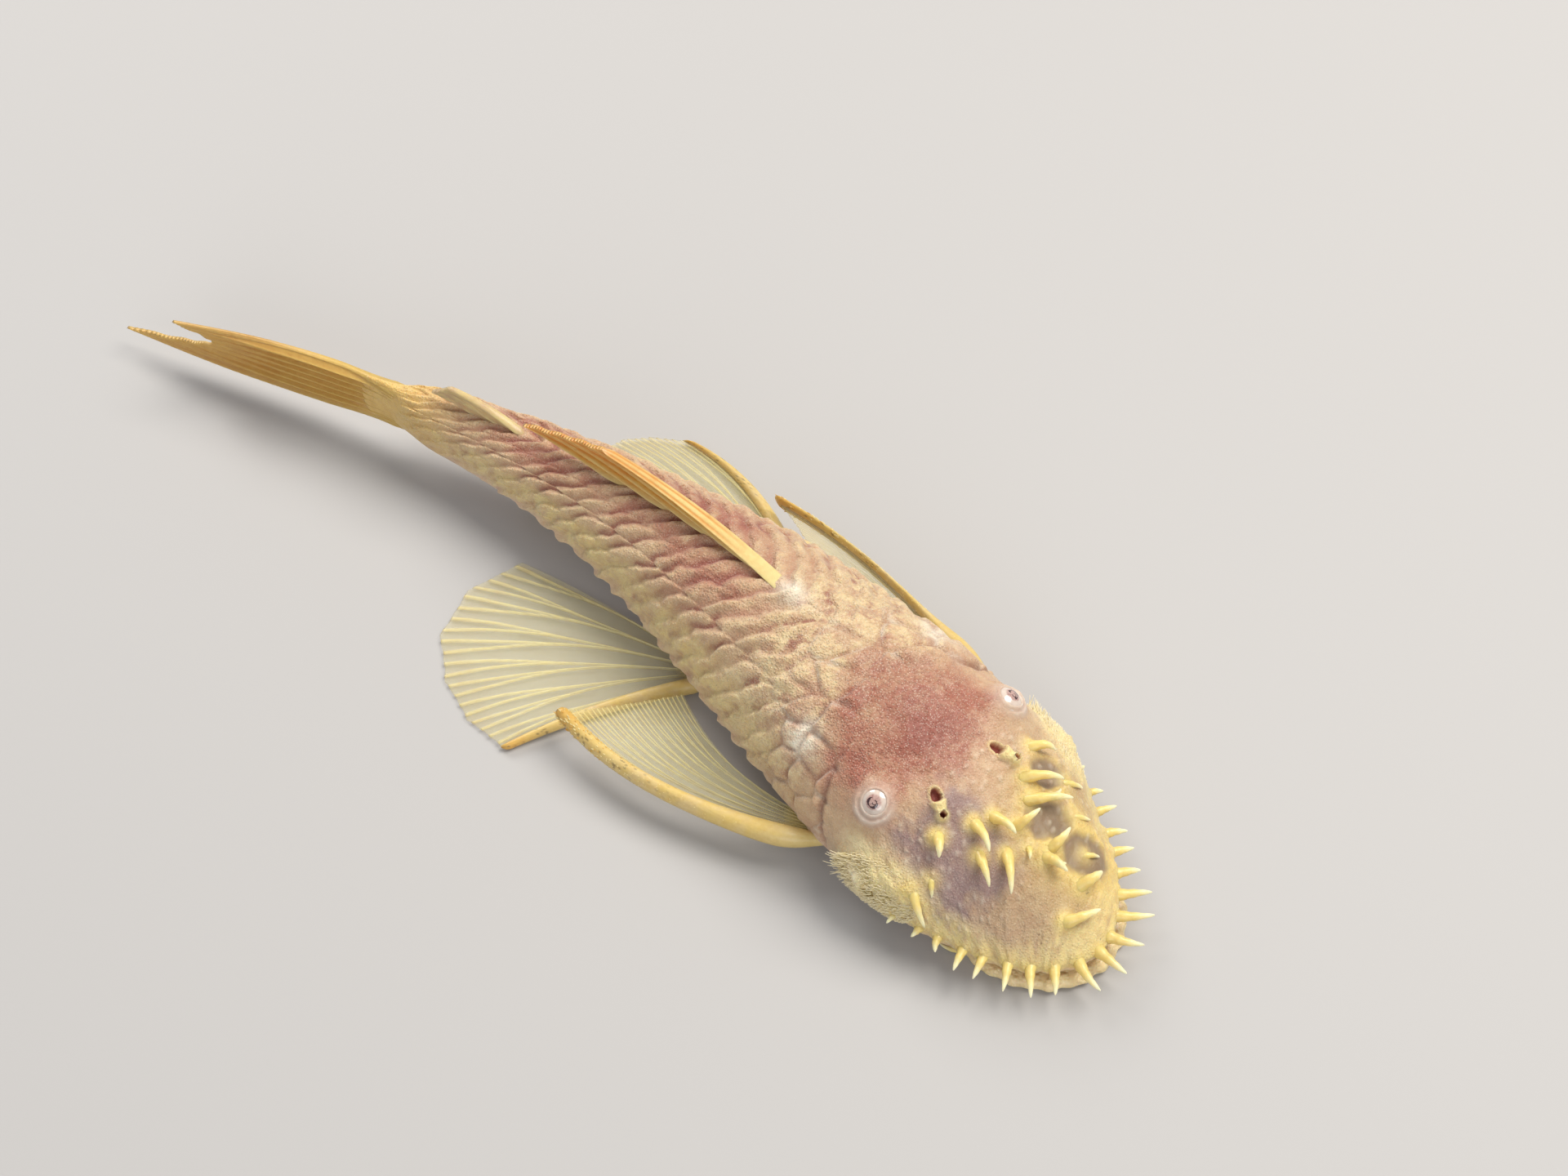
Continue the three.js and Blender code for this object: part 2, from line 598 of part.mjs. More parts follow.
// Pelvic fins: a fan spread on the floor, wide on the right and laid back on the left
const PELVIC = {
  base: { s: 47.5, t: 6.3, z: 0.95 },
  right: { spineAngle: 62, lastAngle: 4, lengths: [20.8, 26.3, 27.8, 22.0], bow: 0 },
  left: { spineAngle: 22, lastAngle: -2, lengths: [21.6, 24.4, 24.6, 20.5], bow: 2.2 },
};
function pelvicFin(side) {
  const { base } = PELVIC;
  const shape = side > 0 ? PELVIC.left : PELVIC.right;
  const rayCount = 6;
  const reach = profile(shape.lengths.map((length, i) => [[0, 0.4, 0.65, 1][i], length]));
  const rays = Array.from({ length: rayCount }, (_, n) => {
    const v = n / (rayCount - 1);
    const angle = THREE.MathUtils.degToRad(THREE.MathUtils.lerp(shape.spineAngle, shape.lastAngle, v));
    const start = [base.s + 2.2 * v, side * (base.t - 0.9 * v), THREE.MathUtils.lerp(base.z, 0.75, v)];
    const end = [
      start[0] + Math.cos(angle) * reach(v),
      start[1] + side * Math.sin(angle) * reach(v),
      MEMBRANE_HALF,
    ];
    if (n === 0) end[2] = PELVIC_TIP;
    return rayCurve(start, end, [0.5, side * shape.bow * (1 - v), 0.1]);
  });
  const fin = finSolid({
    rays,
    spineRadius: 0.9,
    tipRadius: PELVIC_TIP,
    normal: () => UP,
    steps: 7,
  });
  return fin.subtract(TRUNK_CUTTER);
}
const PELVIC_TIP = 0.42;

// Dorsal fin folded down on the back: each ray starts further back than the one above it
const DORSAL = { from: 41.5, to: 62.0, rayCount: 8, firstTip: [66.0, 15.5], lastTip: [75.5, 12.4] };
function dorsalFin() {
  const rays = Array.from({ length: DORSAL.rayCount }, (_, n) => {
    const v = n / (DORSAL.rayCount - 1);
    const s = THREE.MathUtils.lerp(DORSAL.from, DORSAL.to, v);
    const tip = [
      THREE.MathUtils.lerp(DORSAL.firstTip[0], DORSAL.lastTip[0], v),
      0,
      THREE.MathUtils.lerp(DORSAL.firstTip[1], DORSAL.lastTip[1], v),
    ];
    return rayCurve([s, 0, topZ(s) - 0.2], tip, [0, 0, 0.35]);
  });
  const fin = finSolid({
    rays,
    spineRadius: 0.8,
    tipRadius: 0.4,
    normal: (ray, u) => sideways(45 + 25 * u),
    pleat: 0.42,
    steps: 7,
  });
  return fin.subtract(TRUNK_CUTTER).subtract(TAIL_CUTTER);
}
const TAIL_CUTTER = plainPiece(58, STANDARD_LENGTH + CUT_GAP, 24, 36, PLATE_RISE * 0.8 + CUT_GAP);

// Adipose fin: a short spine with a low web behind it
function adiposeFin() {
  const rays = [
    rayCurve([76.3, 0, topZ(76.3) + 0.1], [84.4, 0, 12.5], [0, 0, 0.4]),
    rayCurve([78.6, 0, topZ(78.6) + 0.1], [85.2, 0, 11.7], [0, 0, 0.25]),
    rayCurve([81.2, 0, topZ(81.2) + 0.1], [86.2, 0, 11.0], [0, 0, 0.1]),
  ];
  const fin = finSolid({ rays, spineRadius: 0.5, tipRadius: 0.28, normal: () => sideways(81), steps: 6 });
  return fin.subtract(TAIL_CUTTER);
}

// Anal fin: small and folded back under the tail stalk
function analFin() {
  const rays = Array.from({ length: 5 }, (_, n) => {
    const v = n / 4;
    const s = 65.5 + 3.2 * v;
    return rayCurve([s, 0, bottomZ(s) - 0.2], [75.0 + 1.2 * v, -0.8, 0.55 + 0.9 * v], [0, 0, -0.2]);
  });
  const fin = finSolid({ rays, spineRadius: 0.5, tipRadius: 0.32, normal: () => sideways(70), steps: 6 });
  return fin.subtract(TAIL_CUTTER);
}

// Tail fin, folded: the lower lobe is the longer
const CAUDAL = {
  from: STANDARD_LENGTH + CUT_GAP,
  rayCount: 12,
  upperTip: [115.6, -0.2, 8.2],
  lowerTip: [122.5, 1.4, 2.6],
};
function caudalFin() {
  const rays = Array.from({ length: CAUDAL.rayCount }, (_, n) => {
    const v = n / (CAUDAL.rayCount - 1);
    const fork = Math.sin(Math.PI * v) ** 0.8 * 7;
    const start = [CAUDAL.from, 0, THREE.MathUtils.lerp(9.5, 3.3, v)];
    const end = [
      THREE.MathUtils.lerp(CAUDAL.upperTip[0], CAUDAL.lowerTip[0], v) - fork,
      THREE.MathUtils.lerp(CAUDAL.upperTip[1], CAUDAL.lowerTip[1], v),
      THREE.MathUtils.lerp(CAUDAL.upperTip[2], CAUDAL.lowerTip[2], v),
    ];
    const bow = THREE.MathUtils.lerp(0.8, -0.9, v);
    return rayCurve(start, end, [0, 0, bow]);
  });
  return finSolid({ rays, normal: (ray, u) => sideways(91 + 25 * u), pleat: 0.35, flesh: 1.1, steps: 8 });
}

// Materials
const paint = (color, roughness = 0.55) => new THREE.MeshStandardMaterial({ color, roughness, metalness: 0 });
const SKIN = paint(0xc79a7c);
const HEAD_SKIN = paint(0xb98a72);
const FIN = paint(0xcdb477, 0.5);
const LIP = paint(0xd0ba84, 0.5);
const EYE_PAINT = paint(0xb59a90, 0.15);

const root = new THREE.Group();
root.position.set(-CENTRE_X, -CENTRE_Y, 0);
function addNode(name, solid, material) {
  const mesh = new THREE.Mesh(geometryOf(solid), material);
  mesh.name = name;
  root.add(mesh);
}

addNode("head", headSolid(), HEAD_SKIN);
addNode("trunk", platedPiece(HEAD_END + CUT_GAP, TRUNK_END, 3), SKIN);
addNode("tail_stalk", platedPiece(TRUNK_END + CUT_GAP, STANDARD_LENGTH, 2), SKIN);
addNode("mouth_disc", mouthSolid(), LIP);
addNode("dorsal_fin", dorsalFin(), FIN);
addNode("adipose_fin", adiposeFin(), FIN);
addNode("anal_fin", analFin(), FIN);
addNode("caudal_fin", caudalFin(), FIN);
for (const [name, side] of [["left", 1], ["right", -1]]) {
  addNode(`pectoral_fin_${name}`, pectoralFin(side), FIN);
  addNode(`pelvic_fin_${name}`, pelvicFin(side), FIN);
  addNode(`eye_${name}`, ellipsoid(eyeCentre(side), [1, 1, 1].map(() => EYE.radius), 0, 14), EYE_PAINT);
}

export default root;
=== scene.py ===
import math
from types import SimpleNamespace

import bmesh
import bpy
import numpy as np
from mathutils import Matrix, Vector


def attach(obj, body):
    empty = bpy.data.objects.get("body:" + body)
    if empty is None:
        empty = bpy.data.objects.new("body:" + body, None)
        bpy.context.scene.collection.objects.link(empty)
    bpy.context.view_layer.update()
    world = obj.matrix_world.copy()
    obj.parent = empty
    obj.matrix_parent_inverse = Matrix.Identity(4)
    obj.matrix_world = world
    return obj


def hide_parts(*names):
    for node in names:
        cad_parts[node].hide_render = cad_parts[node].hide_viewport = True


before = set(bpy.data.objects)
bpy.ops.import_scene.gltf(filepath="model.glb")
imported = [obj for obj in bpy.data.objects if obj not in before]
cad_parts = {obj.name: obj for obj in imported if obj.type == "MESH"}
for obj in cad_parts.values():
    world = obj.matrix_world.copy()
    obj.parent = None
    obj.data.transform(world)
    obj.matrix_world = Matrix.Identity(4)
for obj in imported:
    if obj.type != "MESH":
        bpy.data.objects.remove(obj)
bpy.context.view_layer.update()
MM = 0.001

# Shared with the solids
STANDARD_LENGTH = 91.0
CENTRE_X = -58.5
CENTRE_Y = -1.56
HEAD_YAW = -5.0
TAIL_YAW = 22.5
BEND_START = 30.0
BEND_END = 110.0
SNOUT_LENGTH = 16.0
SNOUT_HALF_WIDTH = 11.3
SNOUT_POWER = 1.35
PLATE_PITCH = 2.67
PLATE_ROWS = 10
PLATE_EDGE_ANGLE = math.radians(-15)
ROW_ANGLE = (math.pi - 2 * PLATE_EDGE_ANGLE) / PLATE_ROWS
PLATES_FROM = 24.9
PLATE_BULGE = 0.2
PLATE_SKEW = 1.0
DORSAL_START = 41.5


def profile(points):
    """Smooth curve through [s, value] pairs that never overshoots them."""
    x, y = np.array(points, float).T
    h = np.diff(x)
    slope = np.diff(y) / h
    tangent = np.zeros_like(x)
    tangent[0], tangent[-1] = slope[0], slope[-1]
    for i in range(1, len(x) - 1):
        if slope[i - 1] * slope[i] > 0:
            a, b = 2 * h[i] + h[i - 1], h[i] + 2 * h[i - 1]
            tangent[i] = (a + b) / (a / slope[i - 1] + b / slope[i])

    def at(s):
        s = np.clip(np.asarray(s, float), x[0], x[-1])
        i = np.clip(np.searchsorted(x, s) - 1, 0, len(x) - 2)
        u = (s - x[i]) / h[i]
        return (
            (2 * u**3 - 3 * u**2 + 1) * y[i]
            + (u**3 - 2 * u**2 + u) * h[i] * tangent[i]
            + (3 * u**2 - 2 * u**3) * y[i + 1]
            + (u**3 - u**2) * h[i] * tangent[i + 1]
        )

    return at


side_width = profile([
    (16, 11.3), (19, 11.6), (24, 11.4), (30, 10.8), (36, 10.0), (42, 9.2), (50, 7.8),
    (58, 6.3), (66, 5.0), (74, 3.9), (82, 2.9), (88, 2.2), (91, 1.7),
])
top_z = profile([
    (0, 2.5), (1.2, 4.2), (4, 6.0), (8, 8.0), (13, 10.4), (18, 12.5), (24, 14.2), (30, 15.0),
    (38, 15.2), (46, 14.4), (56, 13.0), (66, 11.7), (74, 10.8), (82, 10.1), (91, 9.8),
])
bottom_z = profile([
    (0, 2.4), (1.2, 1.8), (4, 1.6), (13, 1.6), (20, 1.4), (28, 1.0), (48, 1.0), (58, 1.6),
    (66, 2.3), (76, 2.8), (86, 3.0), (91, 3.0),
])
widest_z = profile([(0, 2.45), (4, 2.7), (13, 3.7), (24, 4.9), (40, 5.2), (56, 5.4), (70, 6.0), (91, 6.4)])
top_power = profile([(0, 2.0), (12, 2.1), (30, 2.2), (60, 2.3), (91, 2.5)])
belly_power = profile([(0, 3.4), (56, 3.4), (70, 2.8), (91, 2.6)])


def smoothstep(a, b, x):
    t = np.clip((np.asarray(x, float) - a) / (b - a), 0, 1)
    return t * t * (3 - 2 * t)


def mix(a, b, share):
    return a + (b - a) * share


def hump(x, reach):
    """1 where x is 0, fading out over its reach to both sides."""
    return np.exp(-((x / reach) ** 2))


def span(x, start, full, fade, end):
    """0 up to start, 1 from full to fade, and 0 again from end on."""
    return smoothstep(start, full, x) * (1 - smoothstep(fade, end, x))


def half_width(s):
    s = np.asarray(s, float)
    u = 1 - np.clip(s, 0, SNOUT_LENGTH) / SNOUT_LENGTH
    snout = SNOUT_HALF_WIDTH * np.sqrt(np.clip(1 - u**SNOUT_POWER, 0, 1))
    return np.where(s < SNOUT_LENGTH, snout, side_width(s))


def yaw_at(s):
    return np.radians(HEAD_YAW + (TAIL_YAW - HEAD_YAW) * smoothstep(BEND_START, BEND_END, s))


# The midline's places, walked from in front of the snout to behind the tail fin
MIDLINE_STEP = 0.25
MIDLINE_S = np.arange(-8, 132.01, MIDLINE_STEP)
_yaw = yaw_at(MIDLINE_S[:-1] + MIDLINE_STEP / 2)
MIDLINE = np.r_[[[0, 0]], np.cumsum(-MIDLINE_STEP * np.c_[np.cos(_yaw), np.sin(_yaw)], axis=0)]
MIDLINE -= MIDLINE[np.argmin(abs(MIDLINE_S))]


def bend(s, t, z):
    """Points in metres in the row frame for straight coordinates in millimetres."""
    s, t, z = np.broadcast_arrays(np.asarray(s, float), np.asarray(t, float), np.asarray(z, float))
    x = np.interp(s, MIDLINE_S, MIDLINE[:, 0])
    y = np.interp(s, MIDLINE_S, MIDLINE[:, 1])
    a = yaw_at(s)
    return np.stack([x - t * np.sin(a) - CENTRE_X, y + t * np.cos(a) - CENTRE_Y, z], -1) * MM


def skin_section(s, angle, rise=0.0):
    """t and z of the skin at an angle: 0 is the left edge, a quarter turn is the back."""
    c, k = np.cos(angle), np.sin(angle)
    power = 2 / np.where(k >= 0, top_power(s), belly_power(s))
    reach = np.where(k >= 0, top_z(s) - widest_z(s), widest_z(s) - bottom_z(s)) + rise
    t = (half_width(s) + rise) * np.sign(c) * np.abs(c) ** power
    return t, widest_z(s) + np.sign(k) * reach * np.abs(k) ** power


def back_z(s, t):
    share = np.clip(np.abs(t) / np.maximum(half_width(s), 0.01), 0, 0.999)
    power = top_power(s)
    return widest_z(s) + (top_z(s) - widest_z(s)) * (1 - share**power) ** (1 / power)


# Repeatable noise on a lattice
LATTICE = np.random.default_rng(5).random((8, 256, 256))


def noise2(x, y, layer=0):
    x, y = np.broadcast_arrays(np.asarray(x, float), np.asarray(y, float))
    i, j = np.floor(x).astype(int), np.floor(y).astype(int)
    u, v = x - i, y - j
    u, v = u * u * (3 - 2 * u), v * v * (3 - 2 * v)
    grid = LATTICE[layer % 8]
    a, b = grid[i & 255, j & 255], grid[(i + 1) & 255, j & 255]
    c, d = grid[i & 255, (j + 1) & 255], grid[(i + 1) & 255, (j + 1) & 255]
    return (a * (1 - u) + b * u) * (1 - v) + (c * (1 - u) + d * u) * v


def cloud(x, y, layer=0, octaves=4):
    total, weight = 0.0, 1.0
    for k in range(octaves):
        total = total + weight * (noise2(x * 2**k + 17 * k, y * 2**k + 9 * k, layer + k) - 0.5)
        weight *= 0.5
    return total


def scattered(x, y, layer=0):
    """Distances to the nearest two of points scattered one to a unit square, and the nearest's x."""
    x, y = np.broadcast_arrays(np.asarray(x, float), np.asarray(y, float))
    i, j = np.floor(x).astype(int), np.floor(y).astype(int)
    near, second = np.full(x.shape, 9.0), np.full(x.shape, 9.0)
    home_x = np.zeros(x.shape)
    for a in (i - 1, i, i + 1):
        for b in (j - 1, j, j + 1):
            at_x = a + 0.5 + 0.8 * (LATTICE[layer % 8][a & 255, b & 255] - 0.5)
            at_y = b + 0.5 + 0.8 * (LATTICE[(layer + 1) % 8][a & 255, b & 255] - 0.5)
            distance = np.hypot(x - at_x, y - at_y)
            closer = distance < near
            second = np.where(closer, near, np.minimum(second, distance))
            home_x = np.where(closer, at_x, home_x)
            near = np.minimum(near, distance)
    return near, second, home_x


def colour(r, g, b):
    """Linear colour from 0 to 255 screen values."""
    c = np.array([r, g, b], float) / 255
    return np.where(c <= 0.04045, c / 12.92, ((c + 0.055) / 1.055) ** 2.4)


# Meshes
def add_mesh(name, points, quads, tint, values=None, triangles=()):
    """A mesh object from points in metres and faces, with its colours and 0 to 1 values."""
    points = np.asarray(points, float).reshape(-1, 3)
    quads = np.asarray(quads, int).reshape(-1, 4)
    triangles = np.asarray(triangles, int).reshape(-1, 3)
    loops = np.r_[quads.ravel(), triangles.ravel()]
    totals = np.r_[np.full(len(quads), 4), np.full(len(triangles), 3)]
    mesh = bpy.data.meshes.new(name)
    mesh.vertices.add(len(points))
    mesh.vertices.foreach_set("co", points.ravel())
    mesh.loops.add(len(loops))
    mesh.loops.foreach_set("vertex_index", loops)
    mesh.polygons.add(len(totals))
    mesh.polygons.foreach_set("loop_start", np.r_[0, np.cumsum(totals)[:-1]])
    mesh.polygons.foreach_set("loop_total", totals)
    mesh.update(calc_edges=True)
    mesh.validate()
    mesh.polygons.foreach_set("use_smooth", np.full(len(mesh.polygons), True))
    layer = mesh.color_attributes.new("Tint", "FLOAT_COLOR", "POINT")
    layer.data.foreach_set("color", np.c_[tint, np.ones(len(tint))].ravel())
    for key, value in (values or {}).items():
        layer = mesh.attributes.new(key, "FLOAT", "POINT")
        layer.data.foreach_set("value", np.asarray(value, float).ravel())
    thing = bpy.data.objects.new(name, mesh)
    bpy.context.scene.collection.objects.link(thing)
    return thing


def grid_quads(rows, columns, wrap=False, start=0):
    r, c = np.meshgrid(np.arange(rows - 1), np.arange(columns if wrap else columns - 1), indexing="ij")
    n = (c + 1) % columns
    a = r * columns + c
    return start + np.stack([a, a + columns, r * columns + columns + n, r * columns + n], -1).reshape(-1, 4)


def face_out(thing):
    """Turns a closed mesh's faces outwards."""
    work = bmesh.new()
    work.from_mesh(thing.data)
    bmesh.ops.recalc_face_normals(work, faces=work.faces)
    work.to_mesh(thing.data)
    work.free()
    return thing


# Palette
TAN = colour(196, 163, 126)
ROSE = colour(182, 137, 108)
RED = colour(158, 92, 72)
RED_DARK = colour(134, 68, 54)
CREAM = colour(218, 194, 146)
WHITE = colour(234, 224, 202)
STRAW = colour(220, 198, 136)
YELLOW = colour(222, 192, 108)
YELLOW_PALE = colour(230, 210, 146)
SNOUT_TAN = colour(172, 143, 110)
PURPLE = colour(138, 112, 110)
BARE_BROWN = colour(134, 112, 88)
CUSHION = colour(232, 212, 150)
BELLY = colour(220, 190, 160)
SPECK = colour(84, 62, 44)
TENTACLE = colour(224, 198, 120)
TENTACLE_TIP = colour(240, 228, 182)
LID = colour(216, 200, 184)
LID_SHADE = colour(170, 142, 130)
NOSTRIL_RED = colour(150, 72, 58)
MEMBRANE = colour(230, 218, 156)
RAY = colour(222, 202, 136)
EDGE_YELLOW = colour(216, 188, 112)
SPINE = colour(220, 190, 112)
SPINE_TIP = colour(210, 158, 66)
CAUDAL_GOLD = colour(220, 182, 98)
CAUDAL_DARK = colour(196, 146, 74)
DORSAL_GOLD = colour(228, 178, 84)
DORSAL_ORANGE = colour(214, 134, 48)
IRIS = colour(190, 158, 146)
IRIS_STREAK = colour(152, 110, 102)
PUPIL = colour(62, 34, 34)
LIP = colour(228, 204, 152)
LIP_INNER = colour(206, 158, 122)
MOUTH_RED = colour(140, 66, 58)
FLOOR_GREY = colour(176, 172, 168)


def plain(tint, like):
    """One colour at each place of an array."""
    return np.broadcast_to(tint, (*like.shape, 3))


def shade(base, other, share):
    return base + (other - base) * np.asarray(share)[..., None]


def lay(base, other, share, most=1.0):
    """The base with another colour over it, by a share kept between 0 and most."""
    return shade(base, other, np.clip(share, 0, most))


# Materials
SUBSURFACE_SCALE = 0.0012
MIX_SHARE, MIX_A, MIX_B, MIX_RESULT = 0, 6, 7, 2  # a Mix node's sockets for colours


def feed(tree, node, inputs):
    """The node, with its inputs set, or linked where an output is given."""
    for key, value in inputs.items():
        if isinstance(value, bpy.types.NodeSocket):
            tree.links.new(value, node.inputs[key])
        else:
            node.inputs[key].default_value = value
    return node


def object_noise(tree, scale, detail=4.0, rough=0.55):
    place = tree.nodes.new("ShaderNodeTexCoord").outputs["Object"]
    inputs = {"Vector": place, "Scale": scale, "Detail": detail, "Roughness": rough}
    return feed(tree, tree.nodes.new("ShaderNodeTexNoise"), inputs).outputs["Fac"]


def object_cells(tree, scale):
    place = tree.nodes.new("ShaderNodeTexCoord").outputs["Object"]
    node = feed(tree, tree.nodes.new("ShaderNodeTexVoronoi"), {"Vector": place, "Scale": scale})
    return node.outputs["Distance"]


def remap(tree, value, low, high, to_low, to_high):
    inputs = {"Value": value, "From Min": low, "From Max": high, "To Min": to_low, "To Max": to_high}
    return feed(tree, tree.nodes.new("ShaderNodeMapRange"), inputs).outputs["Result"]


def math_node(tree, operation, a, b):
    node = tree.nodes.new("ShaderNodeMath")
    node.operation = operation
    return feed(tree, node, {0: a, 1: b}).outputs["Value"]


def colour_mix(tree, base, other, share, blend_type="MIX"):
    node = tree.nodes.new("ShaderNodeMix")
    node.data_type = "RGBA"
    node.blend_type = blend_type
    return feed(tree, node, {MIX_SHARE: share, MIX_A: base, MIX_B: (*other, 1)}).outputs[MIX_RESULT]


def value_output(tree, name, output="Fac"):
    """Values or colours that the mesh itself has under a name."""
    node = tree.nodes.new("ShaderNodeAttribute")
    node.attribute_name = name
    return node.outputs[output]


def tint_output(tree, amount, scale, darker=(0.55, 0.42, 0.36)):
    """The mesh's own colours, broken up by fine mottling."""
    share = remap(tree, object_noise(tree, scale, 5.0, 0.65), 0.42, 0.72, 0.0, amount)
    return colour_mix(tree, value_output(tree, "Tint", "Color"), darker, share, "MULTIPLY")


def velvet(tree, amount):
    """The mesh's own colours under a bloom of pale points, thickest where Prickle is 1."""
    own = tint_output(tree, 0.45, 1100.0, (0.74, 0.54, 0.46))
    points = remap(tree, object_cells(tree, 5200.0), 0.12, 0.4, 1.0, 0.0)
    share = math_node(tree, "MULTIPLY", points, value_output(tree, "Prickle"))
    return colour_mix(tree, own, WHITE, math_node(tree, "MULTIPLY", share, amount))


def add_bump(tree, shader, height, distance, strength):
    bump = tree.nodes.new("ShaderNodeBump")
    feed(tree, bump, {"Height": height, "Distance": distance, "Strength": strength})
    tree.links.new(bump.outputs["Normal"], shader.inputs["Normal"])


def new_material(name, roughness, subsurface, radius=(0.9, 0.45, 0.3), coat=0.3, mottling=None):
    """A wet, fleshy material. Mottling is what tint_output takes to colour it."""
    material = bpy.data.materials.new(name)
    material.use_nodes = True
    tree = material.node_tree
    shader = tree.nodes["Principled BSDF"]
    shader.inputs["Roughness"].default_value = roughness
    shader.inputs["Subsurface Weight"].default_value = subsurface
    shader.inputs["Subsurface Radius"].default_value = radius
    shader.inputs["Subsurface Scale"].default_value = SUBSURFACE_SCALE
    shader.inputs["Coat Weight"].default_value = coat
    shader.inputs["Coat Roughness"].default_value = 0.22
    shader.inputs["IOR"].default_value = 1.4
    if mottling:
        tree.links.new(tint_output(tree, *mottling), shader.inputs["Base Color"])
    return material, tree, shader


def make_skin_material():
    material, tree, shader = new_material("pleco_skin", 0.5, 0.18, coat=0.12)
    tree.links.new(velvet(tree, 0.4), shader.inputs["Base Color"])
    points = remap(tree, object_cells(tree, 4200.0), 0.0, 0.6, 1.0, 0.0)
    prickles = math_node(tree, "MULTIPLY", points, value_output(tree, "Prickle"))
    grain = math_node(tree, "MULTIPLY", object_noise(tree, 2400.0, 5.0, 0.65), 0.8)
    add_bump(tree, shader, math_node(tree, "ADD", prickles, grain), 0.00017, 0.8)
    roughness = remap(tree, object_noise(tree, 500.0), 0.3, 0.7, 0.42, 0.62)
    tree.links.new(roughness, shader.inputs["Roughness"])
    shader.inputs["Sheen Weight"].default_value = 0.15
    return material


def make_tentacle_material():
    material, tree, shader = new_material(
        "tentacle_flesh", 0.4, 0.4, (0.9, 0.7, 0.35), 0.35, (0.3, 1800.0, (0.8, 0.66, 0.5))
    )
    add_bump(tree, shader, object_noise(tree, 3200.0, 3.0), 0.00008, 0.6)
    return material


def make_lip_material():
    material, tree, shader = new_material(
        "lip_flesh", 0.38, 0.4, (0.9, 0.6, 0.35), 0.4, (0.3, 1500.0, (0.8, 0.62, 0.5))
    )
    papillae = remap(tree, object_cells(tree, 2200.0), 0.0, 0.7, 1.0, 0.0)
    add_bump(tree, shader, papillae, 0.0002, 0.8)
    return material


def make_fin_material(name, membrane):
    """Thick is 1 on the rays. The web between them covers by the share called membrane."""
    material, tree, shader = new_material(
        name, 0.36, 0.2, (0.9, 0.75, 0.4), 0.3, (0.35, 1600.0, (0.8, 0.66, 0.48))
    )
    add_bump(tree, shader, object_noise(tree, 2600.0, 3.0), 0.0001, 0.7)
    cover = remap(tree, value_output(tree, "Thick"), 0.05, 0.95, membrane, 0.85)
    tree.links.new(cover, shader.inputs["Alpha"])
    return material


def make_eye_material():
    material, _, shader = new_material("eye_wet", 0.16, 0.15, (0.8, 0.5, 0.4), 1.0, (0.25, 2600.0))
    shader.inputs["Coat Roughness"].default_value = 0.04
    return material


skin_material = make_skin_material()
tentacle_material = make_tentacle_material()
lip_material = make_lip_material()
spread_fin_material = make_fin_material("fin_spread", 0.16)
folded_fin_material = make_fin_material("fin_folded", 0.8)
bristle_material, _, _ = new_material("bristle_horn", 0.35, 0.1, (0.9, 0.6, 0.3), 0.4, (0.15, 2500.0))
eye_material = make_eye_material()


# Places on the head
EYE = {"s": 21.1, "t": 7.8, "radius": 1.75, "out": 0.35}
EYE_LIFT = 0.35
NOSTRIL = {"s": 17.0, "t": 4.1}
CHEEK = {"s": 17.2, "z": 4.1, "length": 4.6, "height": 3.1}
SNOUT_MIDDLE = (12.0, 0, 3)


def surface_frame(s, t):
    """Point in straight coordinates on the back, with its outward normal and two tangents."""
    step = 0.05
    here = np.array([s, t, float(back_z(s, t))])
    ahead = np.array([s - step, t, float(back_z(s - step, t))]) - here
    left = np.array([s, t + step, float(back_z(s, t + step))]) - here
    ahead, left = ahead / np.linalg.norm(ahead), left / np.linalg.norm(left)
    normal = np.cross(left, ahead)
    normal /= np.linalg.norm(normal)
    if normal[2] < 0:
        normal = -normal
    return here, normal, ahead, np.cross(normal, ahead)


# Tentacles' places, which the skin also swells to meet
def seeded(seed):
    state = seed

    def draw():
        nonlocal state
        state = (state * 1664525 + 1013904223) % 4294967296
        return state / 4294967296

    return draw


MARGIN_TENTACLES = 19
MARGIN_REACH = 15.5
# Root s and t, tip s and t, tip's height over the skin, and radius
TOP_TENTACLES = [
    (3.2, -1.1, 2.0, 2.0, 1.1, 0.62), (4.8, 2.2, 4.4, 4.6, 1.3, 0.64), (8.3, 1.0, 5.8, 1.4, 1.6, 0.6),
    (8.6, 1.9, 8.6, 4.4, 1.5, 0.58), (10.4, -1.8, 7.4, -4.3, 1.5, 0.56), (11.8, -3.9, 9.1, -5.4, 1.3, 0.52),
    (11.7, 0.6, 11.2, 2.8, 1.5, 0.5), (13.4, -0.7, 10.7, -0.6, 1.7, 0.56), (14.0, -2.5, 11.0, -3.5, 1.7, 0.58),
    (12.8, 3.2, 10.5, 6.4, 1.7, 0.58), (14.6, 4.2, 12.3, 7.2, 1.7, 0.58), (15.3, -5.8, 13.6, -7.1, 1.5, 0.6),
    (16.6, 6.9, 15.1, 8.9, 1.3, 0.54), (14.1, -9.7, 11.4, -10.7, 1.2, 0.54),
]
SMALL_TENTACLES = [
    (6.6, 4.4, 5.8, 5.8, 0.5, 0.36), (9.8, 6.0, 8.8, 7.3, 0.5, 0.38), (12.6, 7.6, 11.6, 9.0, 0.5, 0.38),
    (9.6, 0.2, 8.8, -0.5, 0.5, 0.34), (13.3, -8.3, 12.3, -9.2, 0.4, 0.36),
]


